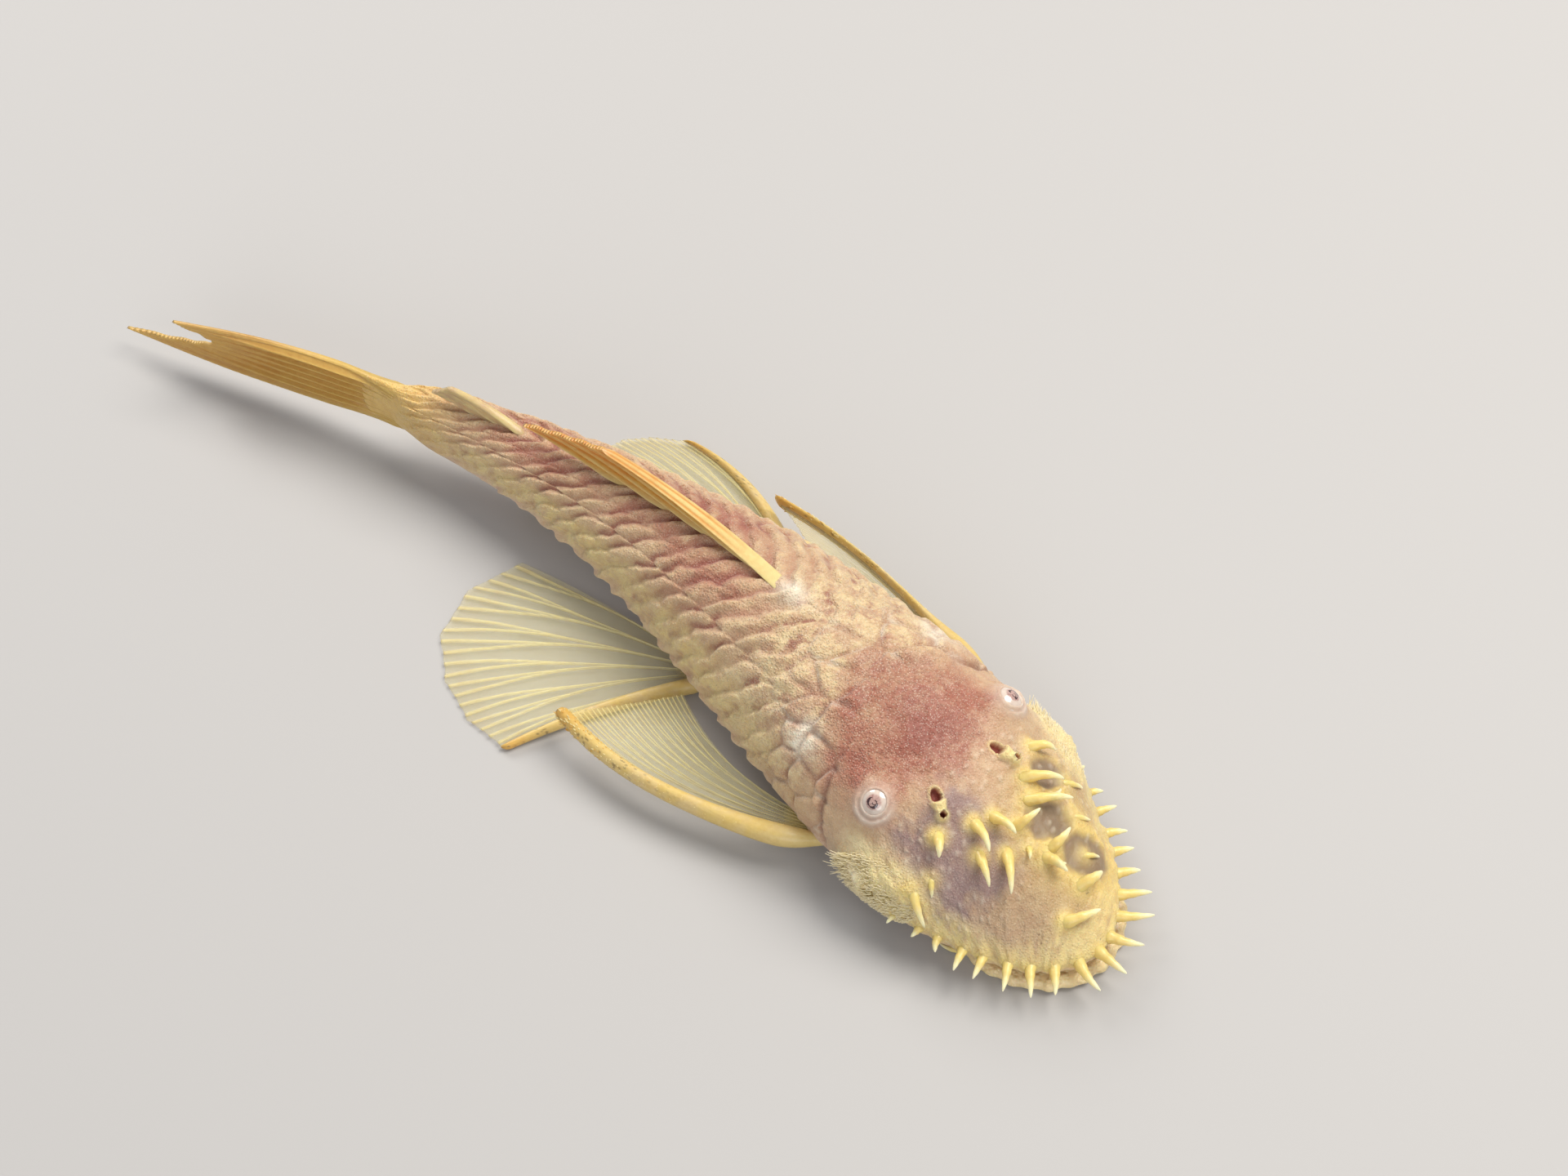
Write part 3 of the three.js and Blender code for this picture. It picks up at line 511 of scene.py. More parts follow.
def margin_tentacles():
    """Root, knee, tip and radius of each tentacle along the snout's margin."""
    a = np.linspace(-1, 1, 161)
    s = MARGIN_REACH * np.abs(a) ** 1.9
    row = np.c_[s, np.sign(a) * half_width(s), widest_z(s) + 0.3]
    reach = np.r_[0, np.cumsum(np.linalg.norm(np.diff(row, axis=0), axis=1))]
    draw = seeded(7)

    def on_row(at):
        return np.array([np.interp(at, reach, row[:, k]) for k in range(3)])

    limbs = []
    for n in range(MARGIN_TENTACLES):
        at = (n + 0.5 + (draw() - 0.5) * 0.25) / MARGIN_TENTACLES * reach[-1]
        root = on_row(at)
        along = on_row(at + 0.2) - on_row(at - 0.2)
        along /= np.linalg.norm(along)
        outward = np.array([-along[1], along[0], 0])
        if outward @ (root - SNOUT_MIDDLE) < 0:
            outward = -outward
        front = 1 - abs(at / reach[-1] * 2 - 1)
        length = (1.3 + 2.2 * front) * (0.88 + 0.24 * draw())
        knee = root + outward * length * 0.5 + [0, 0, 0.1 * length]
        tip = root + outward * length - along * (draw() - 0.5) * 0.5 * length - [0, 0, 0.06 * length]
        limbs.append((root, knee, tip, 0.42 + 0.16 * math.sqrt(front)))
    return limbs


def top_tentacles():
    """The same for those on top of the snout."""
    limbs = []
    for root_s, root_t, tip_s, tip_t, height, radius in TOP_TENTACLES + SMALL_TENTACLES:
        root, normal, _, _ = surface_frame(root_s, root_t)
        tip = np.array([tip_s, tip_t, float(back_z(tip_s, tip_t)) + height])
        knee = root * 0.6 + tip * 0.4 + normal * (1.5 if radius > 0.45 else 0.5)
        limbs.append((root, knee, tip, radius))
    return limbs


LIMBS = margin_tentacles() + top_tentacles()


# Skin: one closed surface over the head, trunk and tail
SKIN_RINGS = 780
SKIN_SIDES = 440
SKIN_END = STANDARD_LENGTH + 3.6  # it thins out over the tail fin's root
# Height of the lids over the plain skin at a distance from the eye's axis
EYE_MOUND = profile([
    (0, 1.0), (0.85, 1.0), (1.05, 1.16), (1.2, 1.36), (1.34, 1.26), (1.48, 1.0), (1.62, 0.98),
    (1.76, 1.06), (1.9, 0.86), (2.1, 0.6), (2.4, 0.4), (3.2, 0.18), (4.4, 0.0),
])


def wrapped_grid(points, tints, name, first, last, values=None):
    """A closed mesh from rings of points in straight coordinates and its two end points."""
    rows, columns = points.shape[:2]
    flat = np.r_[points.reshape(-1, 3), [first], [last]]
    ring = np.arange(columns)
    following = (ring + 1) % columns
    end = (rows - 1) * columns
    caps = np.r_[
        np.c_[np.full(columns, rows * columns), ring, following],
        np.c_[np.full(columns, rows * columns + 1), end + following, end + ring],
    ]
    tints = np.r_[tints.reshape(-1, 3), [tints[0, 0]], [tints[-1, 0]]]
    values = {key: np.r_[value.ravel(), value[0, 0], value[-1, 0]] for key, value in (values or {}).items()}
    quads = grid_quads(rows, columns, wrap=True)
    return face_out(add_mesh(name, bend(*flat.T), quads, tints, values, triangles=caps))


def row_plates(s, turn, arc, width):
    """Relief of the rows of plates: rise, ridge, and the hollows behind the ridges, which get red patches and
    painted shade.
    """
    across = (turn - PLATE_EDGE_ANGLE) / ROW_ANGLE
    row = np.clip(np.floor(across), 0, PLATE_ROWS - 1)
    v = np.clip(across - row, 0, 1)
    plated = smoothstep(-0.1, 0.1, across) * (1 - smoothstep(PLATE_ROWS - 0.1, PLATE_ROWS + 0.1, across))
    down = np.where(row < PLATE_ROWS / 2, 0.5 - v, v - 0.5)
    wavy = 0.6 * cloud(s * 0.4 + 5, arc * 0.5, 1, 2) + 0.22 * cloud(s * 1.3, arc * 1.3, 3, 2)
    bow = 0.5 * PLATE_BULGE * (1 - (2 * v - 1) ** 2)
    shift = (PLATE_SKEW * 1.15 * down + bow + 0.07 * np.sin(row * 2.3 + 1)) * PLATE_PITCH + wavy * 1.8
    phase = ((s - PLATES_FROM - shift) / PLATE_PITCH) % 1.0
    seam = 1 - hump(0.5 - abs(v - 0.5), 0.09)
    ridge = smoothstep(0.0, 0.7, phase) * (1 - smoothstep(0.76, 1.0, phase))
    uneven = 0.8 + 0.7 * cloud(s * 0.5, arc * 0.5, 6, 2)
    slim = np.minimum(1, 0.5 + width / 12)
    rise = (0.46 * ridge * (0.78 + 0.22 * seam) * uneven + 0.06 * np.sin(np.pi * v)) * slim * plated
    hollow = (1 - smoothstep(0.1, 0.5, phase)) * plated
    return rise, ridge * plated * (0.7 + 0.3 * seam), hollow


def shoulder_plates(s, arc):
    """Relief of the larger, uneven plates in front of the dorsal fin: rise and pale outline."""
    size = 3.3
    drift = 0.35 * cloud(s * 0.3, arc * 0.3, 2, 2)
    near, second, home_x = scattered(s / size + drift, arc / (size * 1.1) + drift, 3)
    gap = (second - near) * size
    lean = np.clip(0.45 + (s / size + drift - home_x), 0, 1)
    inside = 1 - hump(gap, 0.55)
    rise = 0.1 + 0.62 * inside * (0.2 + 0.8 * lean)
    outline = hump(gap - 0.3, 0.22) * smoothstep(0.35, 0.7, lean)
    return rise, outline, 1 - inside


def nostril_shape(points, side):
    """How far the skin moves along its normal at a nostril, with its rim and openings."""
    here, normal, ahead, left = surface_frame(NOSTRIL["s"], NOSTRIL["t"] * side)
    axis = ahead * 0.93 - left * 0.36 * side
    delta = points - here
    a, b = delta @ axis, delta @ np.cross(normal, axis)
    near = (delta @ normal > -3) & (np.hypot(a, b) < 4)
    tube = np.hypot(a - 0.85, b)
    tube_rise = 0.75 * hump(tube - 0.42, 0.2) + 0.5 * (tube < 0.42)
    flap_half = 0.4 + 0.3 * (0.85 - a)
    flap = smoothstep(-0.62, -0.35, a) * (1 - smoothstep(0.5, 0.9, a))
    flap = flap * (1 - smoothstep(0.8, 1.15, abs(b) / flap_half))
    rear = np.hypot((a + 1.0) / 0.75, b / 0.5)
    rim = hump(rear - 1.15, 0.25) * 0.25
    front_hole = 1 - smoothstep(0.24, 0.36, tube)
    rear_hole = (1 - smoothstep(0.75, 1.05, rear)) * (1 - flap)
    mound = 0.25 * hump(np.hypot(a, b), 1.6)
    rise = mound + np.maximum(tube_rise, 0.62 * flap) * (1 - rear_hole) + rim
    rise = rise - 0.8 * front_hole - 0.7 * rear_hole
    pale = np.maximum(hump(tube - 0.42, 0.26), np.maximum(flap, 2.5 * rim))
    holes = np.maximum(front_hole, rear_hole)
    return np.where(near, rise, 0)[..., None] * normal, np.where(near, pale, 0), np.where(near, holes, 0)


def blot(s, t, at_s, at_t, reach_s, reach_t=None):
    """1 at a place on the back, fading out over its reach."""
    return np.exp(-(((s - at_s) / reach_s) ** 2 + ((t - at_t) / (reach_t or reach_s)) ** 2))


# Bare windows between the yellow ridges on the left of the snout: s, t and radius
BARE_PATCHES = [(10.6, 3.7, 2.2), (6.5, 4.3, 2.2), (13.9, 6.5, 1.7)]
# Stretches of s over which a part of the skin begins or ends
HEAD_END = (24, 30)
MUZZLE_END = (5, 15)
SNOUT_END = (11.0, 18.0)
SHOULDER_BEGIN = (27.0, 29.5)
PLATES_BEGIN = (33.0, 38.5)
PLATES_END = (88.0, 90.6)
GILL = {"s": 23.2, "lean": 0.25, "half_width": 0.35}
NAPE = {"s": 24.6, "t": -0.8, "length": 6.3, "width": 7.0}
PALE_SHOULDER = {"s": 30.4, "t": 8.2}
# The lids' inner crest and outer fold, and the grooves behind them that get painted shade, by distance from
# the eye's axis
LID_CREST, LID_FOLD = 1.22, 1.8
LID_GROOVE, FOLD_GROOVE = 1.52, 2.1


def skin_grid():
    """Places on the plain skin, in rings of one s each, with the noise that its parts share."""
    u = np.linspace(0, 1, SKIN_RINGS)
    s_line = SKIN_END * (0.28 * u**1.9 + 0.72 * u**1.15)
    s_line[0] = 0.02
    angles = np.linspace(0, 2 * np.pi, SKIN_SIDES, endpoint=False)
    s, angle = np.meshgrid(s_line, angles, indexing="ij")
    t, z = skin_section(s, angle)
    turn = np.where(angle > 1.5 * np.pi, angle - 2 * np.pi, angle)
    width = half_width(s)
    arc = turn * np.maximum(width, 3.0)
    return SimpleNamespace(
        s=s, t=t, z=z, angle=angle, turn=turn, width=width, arc=arc,
        above=smoothstep(-0.35, 0.15, np.sin(angle)),
        out=abs(t) / np.maximum(width, 0.1),
        mottle=cloud(s * 0.22, arc * 0.22, 4, 4),
        fine=cloud(s * 1.1, arc * 1.1, 5, 3),
        grit=cloud(s * 3.3, arc * 3.3, 0, 2),
    )


def body_rise(grid):
    """Relief of the trunk's and shoulders' plates and of the dorsal fin's foot."""
    s, t = grid.s, grid.t
    grid.body = smoothstep(*PLATES_BEGIN, s + 0.25 * abs(t)) * (1 - smoothstep(*PLATES_END, s))
    shoulder = smoothstep(*SHOULDER_BEGIN, s + 0.3 * abs(t) - 2.6 * hump(t, 4.5)) * (1 - grid.body)
    grid.shoulder = shoulder * grid.above * (s < 50)
    row_rise, grid.ridge, grid.hollow = row_plates(s, grid.turn, grid.arc, grid.width)
    big_rise, grid.outline, grid.gap = shoulder_plates(s, grid.arc)
    grid.fin_foot = blot(s, t, DORSAL_START - 0.2, 0.0, 1.7, 1.2) * grid.above
    return grid.body * row_rise + grid.shoulder * big_rise + 0.75 * grid.fin_foot


def head_rise(grid):
    """Relief of the soft head: lumps, gill opening, cheeks, windows, tentacles' feet, papillae."""
    s, t, z, arc, above = grid.s, grid.t, grid.z, grid.arc, grid.above
    head = (1 - smoothstep(*HEAD_END, s)) * above
    rise = head * (0.3 * cloud(s * 0.3, arc * 0.3, 3, 3) + 0.1 * cloud(s * 1.3, arc * 1.3, 2, 3))
    grid.gill = hump(s - GILL["s"] - GILL["lean"] * z, GILL["half_width"])
    grid.gill = grid.gill * smoothstep(6.5, 9.5, abs(t)) * above
    grid.cheek = blot(s, z, CHEEK["s"], CHEEK["z"] + 1.5, 4.0, 2.9) * smoothstep(7.6, 9.6, abs(t)) * above
    rise = rise - 0.4 * grid.gill + grid.cheek * (1.25 + 0.55 * cloud(s * 0.7, arc * 0.7, 7, 3))
    muzzle = (1 - smoothstep(*MUZZLE_END, s)) * above
    rise = rise + 0.25 * muzzle * cloud(s * 0.55, arc * 0.55, 6, 4)
    grid.bare = np.zeros_like(s)
    for at_s, at_t, reach in BARE_PATCHES:
        wobbly = np.hypot(s - at_s, t - at_t) / reach + 0.35 * cloud(s * 0.8, t * 0.8, 4, 2)
        grid.bare = np.maximum(grid.bare, (1 - smoothstep(0.72, 1.2, wobbly)) * above)
    grid.ridged = np.clip(sum(blot(s, t, *patch) for patch in BARE_PATCHES) * 1.6, 0, 1) * above
    rise = rise + 0.3 * grid.ridged * (1 - grid.bare) - 0.08 * grid.bare
    grid.mounds = np.zeros_like(s)
    for root, _, _, radius in LIMBS:
        apart = np.sqrt((s - root[0]) ** 2 + (t - root[1]) ** 2 + (z - root[2]) ** 2)
        grid.mounds = np.maximum(grid.mounds, radius / 0.6 * hump(apart, 0.95))
    near = scattered(s / 1.25, arc / 1.25, 5)[0]
    papillae = np.clip(1 - near / 0.3, 0, 1) * (cloud(s * 0.35, arc * 0.35, 0, 2) > -0.1)
    grid.papillae = papillae * head * span(s, 6, 8, 18, 20)
    return rise + 0.5 * grid.mounds + 0.14 * grid.papillae


def raised_skin(grid, rise):
    """Points of the raised skin, drawn in over the tail fin's root and closed behind it."""
    s = grid.s
    t, z = skin_section(s, grid.angle, rise)
    last = np.clip((s - SKIN_END + 1.2) / 1.2, 0, 1)
    close = np.sqrt(1 - 0.98 * last**2)
    thin = close * (1 - 0.72 * smoothstep(85.5, 94, s))
    low = close * (1 - 0.12 * smoothstep(84, 91, s))
    middle = (top_z(s) + bottom_z(s)) / 2
    return np.stack([s, t * thin, middle + (z - middle) * low], -1)


def eyelid_shape(points, grid, side):
    """How far the skin moves at an eye, with the share of pale lid colour, lighter towards the front and inner
    side as painted light, and the share of painted shade in the grooves.
    """
    here, normal, ahead, left = surface_frame(EYE["s"], EYE["t"] * side)
    delta = points - here
    x, y = delta @ ahead, delta @ left * side
    r = np.hypot(x, y) * (1 + 0.035 * np.sin(2 * np.arctan2(y, x) + 0.7))
    r = r + smoothstep(1.3, 2.0, r) * 0.14 * (y + 0.4 * x) / np.maximum(r, 0.5)
    level = delta @ normal
    r = np.where(level > -3.5, r, 50.0)
    inward = (0.6 * x - 0.8 * y) / np.maximum(r, 0.5)
    # Painted light: the pale crests and lids are lighter towards the front and inner side and darker on the
    # far side
    lit = 0.75 + 0.25 * inward
    inner = smoothstep(-0.5, 0.8, inward)
    folds = 0.12 * cloud(grid.s * 2.1, grid.arc * 2.1, 3, 2) * span(r, 1.1, 1.4, 2.2, 3.5)
    folds = folds - 0.22 * (1 - inner) * hump(r - 1.78, 0.2)
    settle = 1 - smoothstep(1.6, 3.0, r)
    move = (EYE_MOUND(r) + folds - settle * level)[..., None] * normal
    lit_pale_crests = (hump(r - LID_CREST, 0.17) + 0.8 * inner * hump(r - LID_FOLD, 0.22)) * lit
    lids = np.clip(0.6 * lit_pale_crests + 0.45 * (1 - smoothstep(1.6, 2.5, r)) * lit, 0, 1)
    # Painted shade in the grooves behind the crest and the fold, deeper on the inner side
    groove = (0.2 + 0.3 * inner) * hump(r - LID_GROOVE, 0.13)
    return move, lids, np.maximum(groove, 0.4 * inner * hump(r - FOLD_GROOVE, 0.2))


def body_tints(grid):
    """Tan and rose, red along the back, with paler plate edges, red patches and painted shade in the hollows
    between them, and a granular pale shoulder.
    """
    s, above, mottle, fine = grid.s, grid.above, grid.mottle, grid.fine
    tint = lay(plain(TAN, s), ROSE, 0.3 + 1.1 * mottle + 0.5 * fine, 0.6)
    blush = span(s, 40, 50, 76, 86) * hump(grid.out - 0.35, 0.32) * above
    tint = lay(tint, RED, blush * (0.62 + 0.9 * mottle), 0.75)
    # Red patches in the hollows behind the plates' ridges, darkened further by painted shade
    patches = smoothstep(-0.15, 0.2, cloud(s * 0.5 + 3, grid.arc * 0.5, 2, 2))
    tint = lay(tint, RED_DARK, grid.body * grid.hollow * (0.2 + 0.55 * patches), 0.8)
    tint = lay(tint, CREAM, grid.body * grid.ridge * (0.45 + 0.5 * fine - 0.25 * blush), 0.8)
    flank = smoothstep(0.8, 0.98, grid.out) * smoothstep(26, 34, s) * above
    tint = lay(tint, STRAW, flank * (0.75 + fine), 0.85)
    grid.granular = span(s, 26, 30, 37, 44) * above
    tint = lay(tint, CREAM, grid.granular * (0.35 + 1.4 * fine + grid.grit), 0.75)
    tint = lay(tint, WHITE, grid.shoulder * grid.outline * (0.55 + fine), 0.8)
    tint = lay(tint, RED_DARK, grid.shoulder * grid.gap * (0.28 + 0.8 * mottle), 0.5)
    for side in (1, -1):
        spot = blot(s, grid.t, PALE_SHOULDER["s"], PALE_SHOULDER["t"] * side, 1.7, 1.2) * above
        tint = lay(tint, WHITE, spot * (0.8 + fine), 0.85)
    return tint


def head_tints(tint, grid):
    """The red nape, the purple snout with yellow margin, web and windows, and the cheeks."""
    s, t, above, mottle, fine = grid.s, grid.t, grid.above, grid.mottle, grid.fine
    away = np.hypot((s - NAPE["s"]) / NAPE["length"], (t - NAPE["t"]) / NAPE["width"])
    away = away + 0.315 * cloud(s * 0.5, t * 0.5, 1, 3)
    grid.nape = (1 - smoothstep(0.75, 1.35, away)) * above
    tint = lay(tint, RED, grid.nape * (0.82 + 0.6 * mottle + 0.4 * grid.grit), 0.92)
    core = (blot(s, t, 25.8, -1.6, 2.6, 3.6) + blot(s, t, 22.0, -0.6, 1.8, 3.2)) * above
    tint = lay(tint, RED_DARK, core * (0.55 + mottle), 0.65)
    snout = (1 - smoothstep(*SNOUT_END, s)) * above
    tint = lay(tint, SNOUT_TAN, snout * (0.9 + mottle))
    sides = np.where(t < 0, smoothstep(-0.2, 2.5, -t), 0.35 * smoothstep(3, 6, t))
    purple = span(s, 7.5, 10.0, 17.0, 20.0) * (1 - smoothstep(8.5, 10.6, abs(t))) * sides * above
    tint = lay(tint, PURPLE, purple * (0.75 + 1.2 * mottle + 0.6 * fine), 0.85)
    margin = (1 - smoothstep(2.4, 6.5, s + 0.5 * (grid.width - abs(t)))) * above
    rim = smoothstep(0.8, 0.97, grid.out) * (1 - smoothstep(19, 23, s)) * above
    tint = lay(tint, STRAW, np.maximum(margin, rim) * (0.85 + 1.1 * fine), 0.9)
    web = 0.75 * blot(s, t, 7.5, 4.0, 5.5, 4.6) * above + 0.9 * grid.ridged * (1 - grid.bare)
    tint = lay(tint, YELLOW, web + 0.5 * fine * grid.ridged, 0.88)
    tint = shade(tint, BARE_BROWN, 0.95 * grid.bare)
    tint = shade(tint, WHITE, 0.28 * grid.papillae)
    tint = lay(tint, CUSHION, grid.cheek * (1.5 + 1.2 * fine), 0.95)
    tint = lay(tint, WHITE, grid.cheek * smoothstep(17, 21, s) * (0.8 + fine), 0.8)
    return lay(tint, TENTACLE, 1.2 * grid.mounds, 0.92)


def last_tints(tint, grid):
    """The dorsal fin's foot, the stalk, belly, eyelids with painted light and painted shade, nostrils, gill
    openings darkened by painted shade, and specks.
    """
    s, arc, above = grid.s, grid.arc, grid.above
    tint = lay(tint, WHITE, 0.75 * grid.fin_foot, 0.7)
    tint = shade(tint, TAN, 0.6 * smoothstep(76, 90, s))
    tint = shade(tint, CAUDAL_GOLD, 0.9 * smoothstep(80, 91, s))
    tint = shade(tint, BELLY, (1 - above) * 0.92 * (1 - smoothstep(78, 88, s)))
    # Pale lids, lighter on one side as painted light, then painted shade in the grooves around them
    tint = shade(tint, LID, 0.9 * grid.lids)
    tint = shade(tint, LID_SHADE, 0.75 * grid.grooves)
    tint = lay(tint, YELLOW_PALE, 0.95 * grid.nose_pale, 0.95)
    tint = lay(tint, NOSTRIL_RED, 1.1 * grid.nose_hole)
    # Painted shade: the gill slits get the skin's dark red, darkened further inside the slit
    tint = shade(tint, RED_DARK * 0.8, 0.6 * grid.gill)
    on_snout = (noise2(s * 3.3, arc * 3.3, 7) > 0.955) * blot(s, grid.t, 4.5, -2.5, 4.5, 6.5) * above
    on_body = (noise2(s * 2.1, arc * 2.1, 6) > 0.985) * 0.5 * above * (s > 28)
    return lay(tint, SPECK, on_snout + on_body, 0.8)


def build_skin():
    grid = skin_grid()
    points = raised_skin(grid, body_rise(grid) + head_rise(grid))
    grid.lids, grid.grooves, grid.nose_pale, grid.nose_hole = np.zeros((4, *grid.s.shape))
    for side in (1, -1):
        move, lids, grooves = eyelid_shape(points, grid, side)
        points = points + move
        move, pale, holes = nostril_shape(points, side)
        points = points + move
        grid.lids = np.maximum(grid.lids, lids)
        grid.grooves = np.maximum(grid.grooves, grooves)
        grid.nose_pale = np.maximum(grid.nose_pale, pale)
        grid.nose_hole = np.maximum(grid.nose_hole, holes)
    tint = last_tints(head_tints(body_tints(grid), grid), grid)
    prickle = 0.45 * grid.above + 0.35 * grid.body * grid.ridge + 0.4 * grid.nape
    prickle = prickle + 0.6 * grid.cheek + 0.35 * grid.granular
    prickle = np.clip(prickle - 0.5 * grid.bare - grid.lids - grid.nose_hole, 0, 1)
    front = [-0.02, 0, float(widest_z(0))]
    rear = [SKIN_END + 0.05, 0, float(top_z(STANDARD_LENGTH) + bottom_z(STANDARD_LENGTH)) / 2]
    thing = wrapped_grid(points, tint, "skin", front, rear, {"Prickle": prickle})
    thing.data.materials.append(skin_material)
    return thing


skin = build_skin()
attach(skin, "root")
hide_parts("head", "trunk", "tail_stalk")


# Tapered tubes: tentacles, barbels, bristles and hooks
class Gather:
    """Many closed tubes, made into one mesh."""

    def __init__(self):
        self.points, self.quads, self.triangles, self.tints, self.homes = [], [], [], [], []
        self.count = 0

    def add(self, path, radii, tints, sides=10, home=(0, 0)):
        """A closed tube in straight coordinates along path, with one radius and tint a ring."""
        path, radii = np.asarray(path, float), np.asarray(radii, float)
        along = np.gradient(path, axis=0)
        along /= np.linalg.norm(along, axis=1)[:, None] + 1e-9
        across = np.cross([0, 0, 1.0], along[0])
        if np.linalg.norm(across) < 0.1:
            across = np.array([0, 1.0, 0])
        a = np.linspace(0, 2 * np.pi, sides, endpoint=False)
        rings = []
        for centre, direction, radius in zip(path, along, radii):
            side = across - direction * (across @ direction)
            side /= np.linalg.norm(side)
            other = np.cross(side, direction)
            rings.append(centre + radius * (np.cos(a)[:, None] * side + np.sin(a)[:, None] * other))
        rings = np.array(rings)
        tip = path[-1] + along[-1] * radii[-1] * 0.7
        points = np.r_[rings.reshape(-1, 3), [path[0]], [tip]]
        n = len(path)
        ring = np.arange(sides)
        following = (ring + 1) % sides
        self.quads.append(grid_quads(n, sides, wrap=True, start=self.count))
        first, last = self.count + n * sides, self.count + n * sides + 1
        base, end = self.count + ring, self.count + (n - 1) * sides + ring
        self.triangles.append(np.c_[np.full(sides, first), base, self.count + following])
        self.triangles.append(np.c_[np.full(sides, last), self.count + (n - 1) * sides + following, end])
        self.points.append(points)
        self.tints.append(np.r_[np.repeat(tints, sides, axis=0), [tints[0]], [tints[-1]]])
        self.homes.append(np.repeat([home], len(points), axis=0))
        self.count += len(points)

    def make(self, name, material):
        flat = np.concatenate(self.points)
        thing = add_mesh(
            name,
            bend(flat[:, 0], flat[:, 1], flat[:, 2]),
            np.concatenate(self.quads),
            np.concatenate(self.tints),
            triangles=np.concatenate(self.triangles),
        )
        thing.data.materials.append(material)
        face_out(thing)
        # Each limb is a small patch at its root's place on the unwrapped skin
        homes = np.concatenate(self.homes)
        patch = homes + 0.0015 * np.c_[np.sin(np.arange(len(homes))), np.cos(np.arange(len(homes)))]
        layer = thing.data.uv_layers.new(name="OFBake")
        index = np.empty(len(thing.data.loops), int)
        thing.data.loops.foreach_get("vertex_index", index)
        layer.data.foreach_set("uv", patch[index].ravel())
        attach(thing, "root")
        return thing


UNWRAP_LENGTH, UNWRAP_HALF_WIDTH = 130.0, 30.0


def home_of(s, t):
    """Place of a root on an unwrap of the skin's own shape."""
    return (0.05 + 0.9 * s / UNWRAP_LENGTH, 0.5 + 0.45 * t / UNWRAP_HALF_WIDTH)


def bezier(a, b, c, n):
    u = np.linspace(0, 1, n)[:, None]
    return a * (1 - u) ** 2 + 2 * b * u * (1 - u) + c * u**2


def tentacle(gather, root, knee, tip, radius, home, fork=False):
    """A soft horn: broad where it leaves the skin, then tapering to a pale tip."""
    root, knee, tip = (np.asarray(p, float) for p in (root, knee, tip))
    start = (knee - root) / np.linalg.norm(knee - root)
    path = np.r_[[root - start * 0.7], bezier(root, knee, tip, 18)]
    length = np.linalg.norm(np.diff(path, axis=0), axis=1).sum()
    u = np.linspace(0, 1, len(path))
    path[:, 1] += np.sin(u * 2.6 + home[0] * 90) * 0.05 * length * u**1.5
    radii = radius * (0.92 * (1 - u) ** 0.65 + 0.1 + 0.2 * np.exp(-7 * u))
    radii *= 1 + 0.05 * np.sin(u * 21 + home[1] * 60)
    radii[-1] = radius * 0.13
    tints = shade(np.broadcast_to(TENTACLE, (len(u), 3)), TENTACLE_TIP, smoothstep(0.4, 0.95, u))
    gather.add(path, radii, tints, 12, home)
    if fork:
        k = len(path) // 2
        rest = path[-1] - path[k]
        side = np.cross(rest, [0, 0, 1.0])
        side *= 0.4 / (np.linalg.norm(side) + 1e-9) * np.linalg.norm(rest)
        branch = bezier(path[k], path[k] + rest * 0.4 + side * 0.4, path[k] + rest * 0.55 + side, 8)
        gather.add(branch, np.linspace(radii[k] * 0.8, radius * 0.14, 8), tints[-8:], 10, home)


FORKED_TENTACLES = (2, 9)  # places in TOP_TENTACLES


def build_tentacles():
    gather = Gather()
    for n, (root, knee, tip, radius) in enumerate(LIMBS):
        forked = n - MARGIN_TENTACLES in FORKED_TENTACLES
        tentacle(gather, root, knee, tip, radius, home_of(root[0], root[1]), forked)
    return gather.make("snout_tentacles", tentacle_material)


tentacles = build_tentacles()


def side_point(s, z, side, out=0.0):
    """Point on the flank at height z, standing out by out."""
    low, high = widest_z(s), np.where(z >= widest_z(s), top_z(s), bottom_z(s))
    share = np.clip(abs(z - low) / np.maximum(abs(high - low), 0.1), 0, 0.98)
    power = np.where(z >= low, top_power(s), belly_power(s))
    return np.array([s, side * (half_width(s) * (1 - share**power) ** (1 / power) + out), z], float)


CHEEK_BRISTLES = 1900


def build_bristles():
    """The cheek's velvet of fine bristles, longer towards the gill."""
    gather = Gather()
    draw = np.random.default_rng(13)
    for side in (1, -1):
        for _ in range(CHEEK_BRISTLES):
            along, up = draw.uniform(-1, 1, 2)
            if along**2 + up**2 > 1:
                continue
            from_s, from_z = CHEEK["length"] * along, CHEEK["height"] * up
            s = CHEEK["s"] + from_s
            z = CHEEK["z"] + 1.3 + from_z
            swell = math.exp(-((from_s / 4.0) ** 2) - ((from_z - 0.2) / 2.9) ** 2)
            root = side_point(s, z, side, 1.15 * swell)
            back = smoothstep(0.2, 1.0, along) * (draw.random() < 0.3)
            length = (0.4 + 0.8 * back) * draw.uniform(0.7, 1.3)
            lean = draw.uniform(-0.25, 0.25, 2)
            tip = root + np.array([0.5 + lean[0], side * 0.8, 0.35 * up + 0.2 + lean[1]]) * length
            knee = root + np.array([0.12, side * 0.5, 0.15 * up]) * length
            path = np.r_[[root - (knee - root) * 0.8], bezier(root, knee, tip, 4)]
            share = np.linspace(0, 1, len(path))
            tints = shade(np.broadcast_to(CUSHION, (len(path), 3)), WHITE, 0.5 * share)
            gather.add(path, 0.085 - 0.065 * share, tints, 5, home_of(s, root[1]))
    return gather.make("cheek_bristles", bristle_material)


bristles = build_bristles()


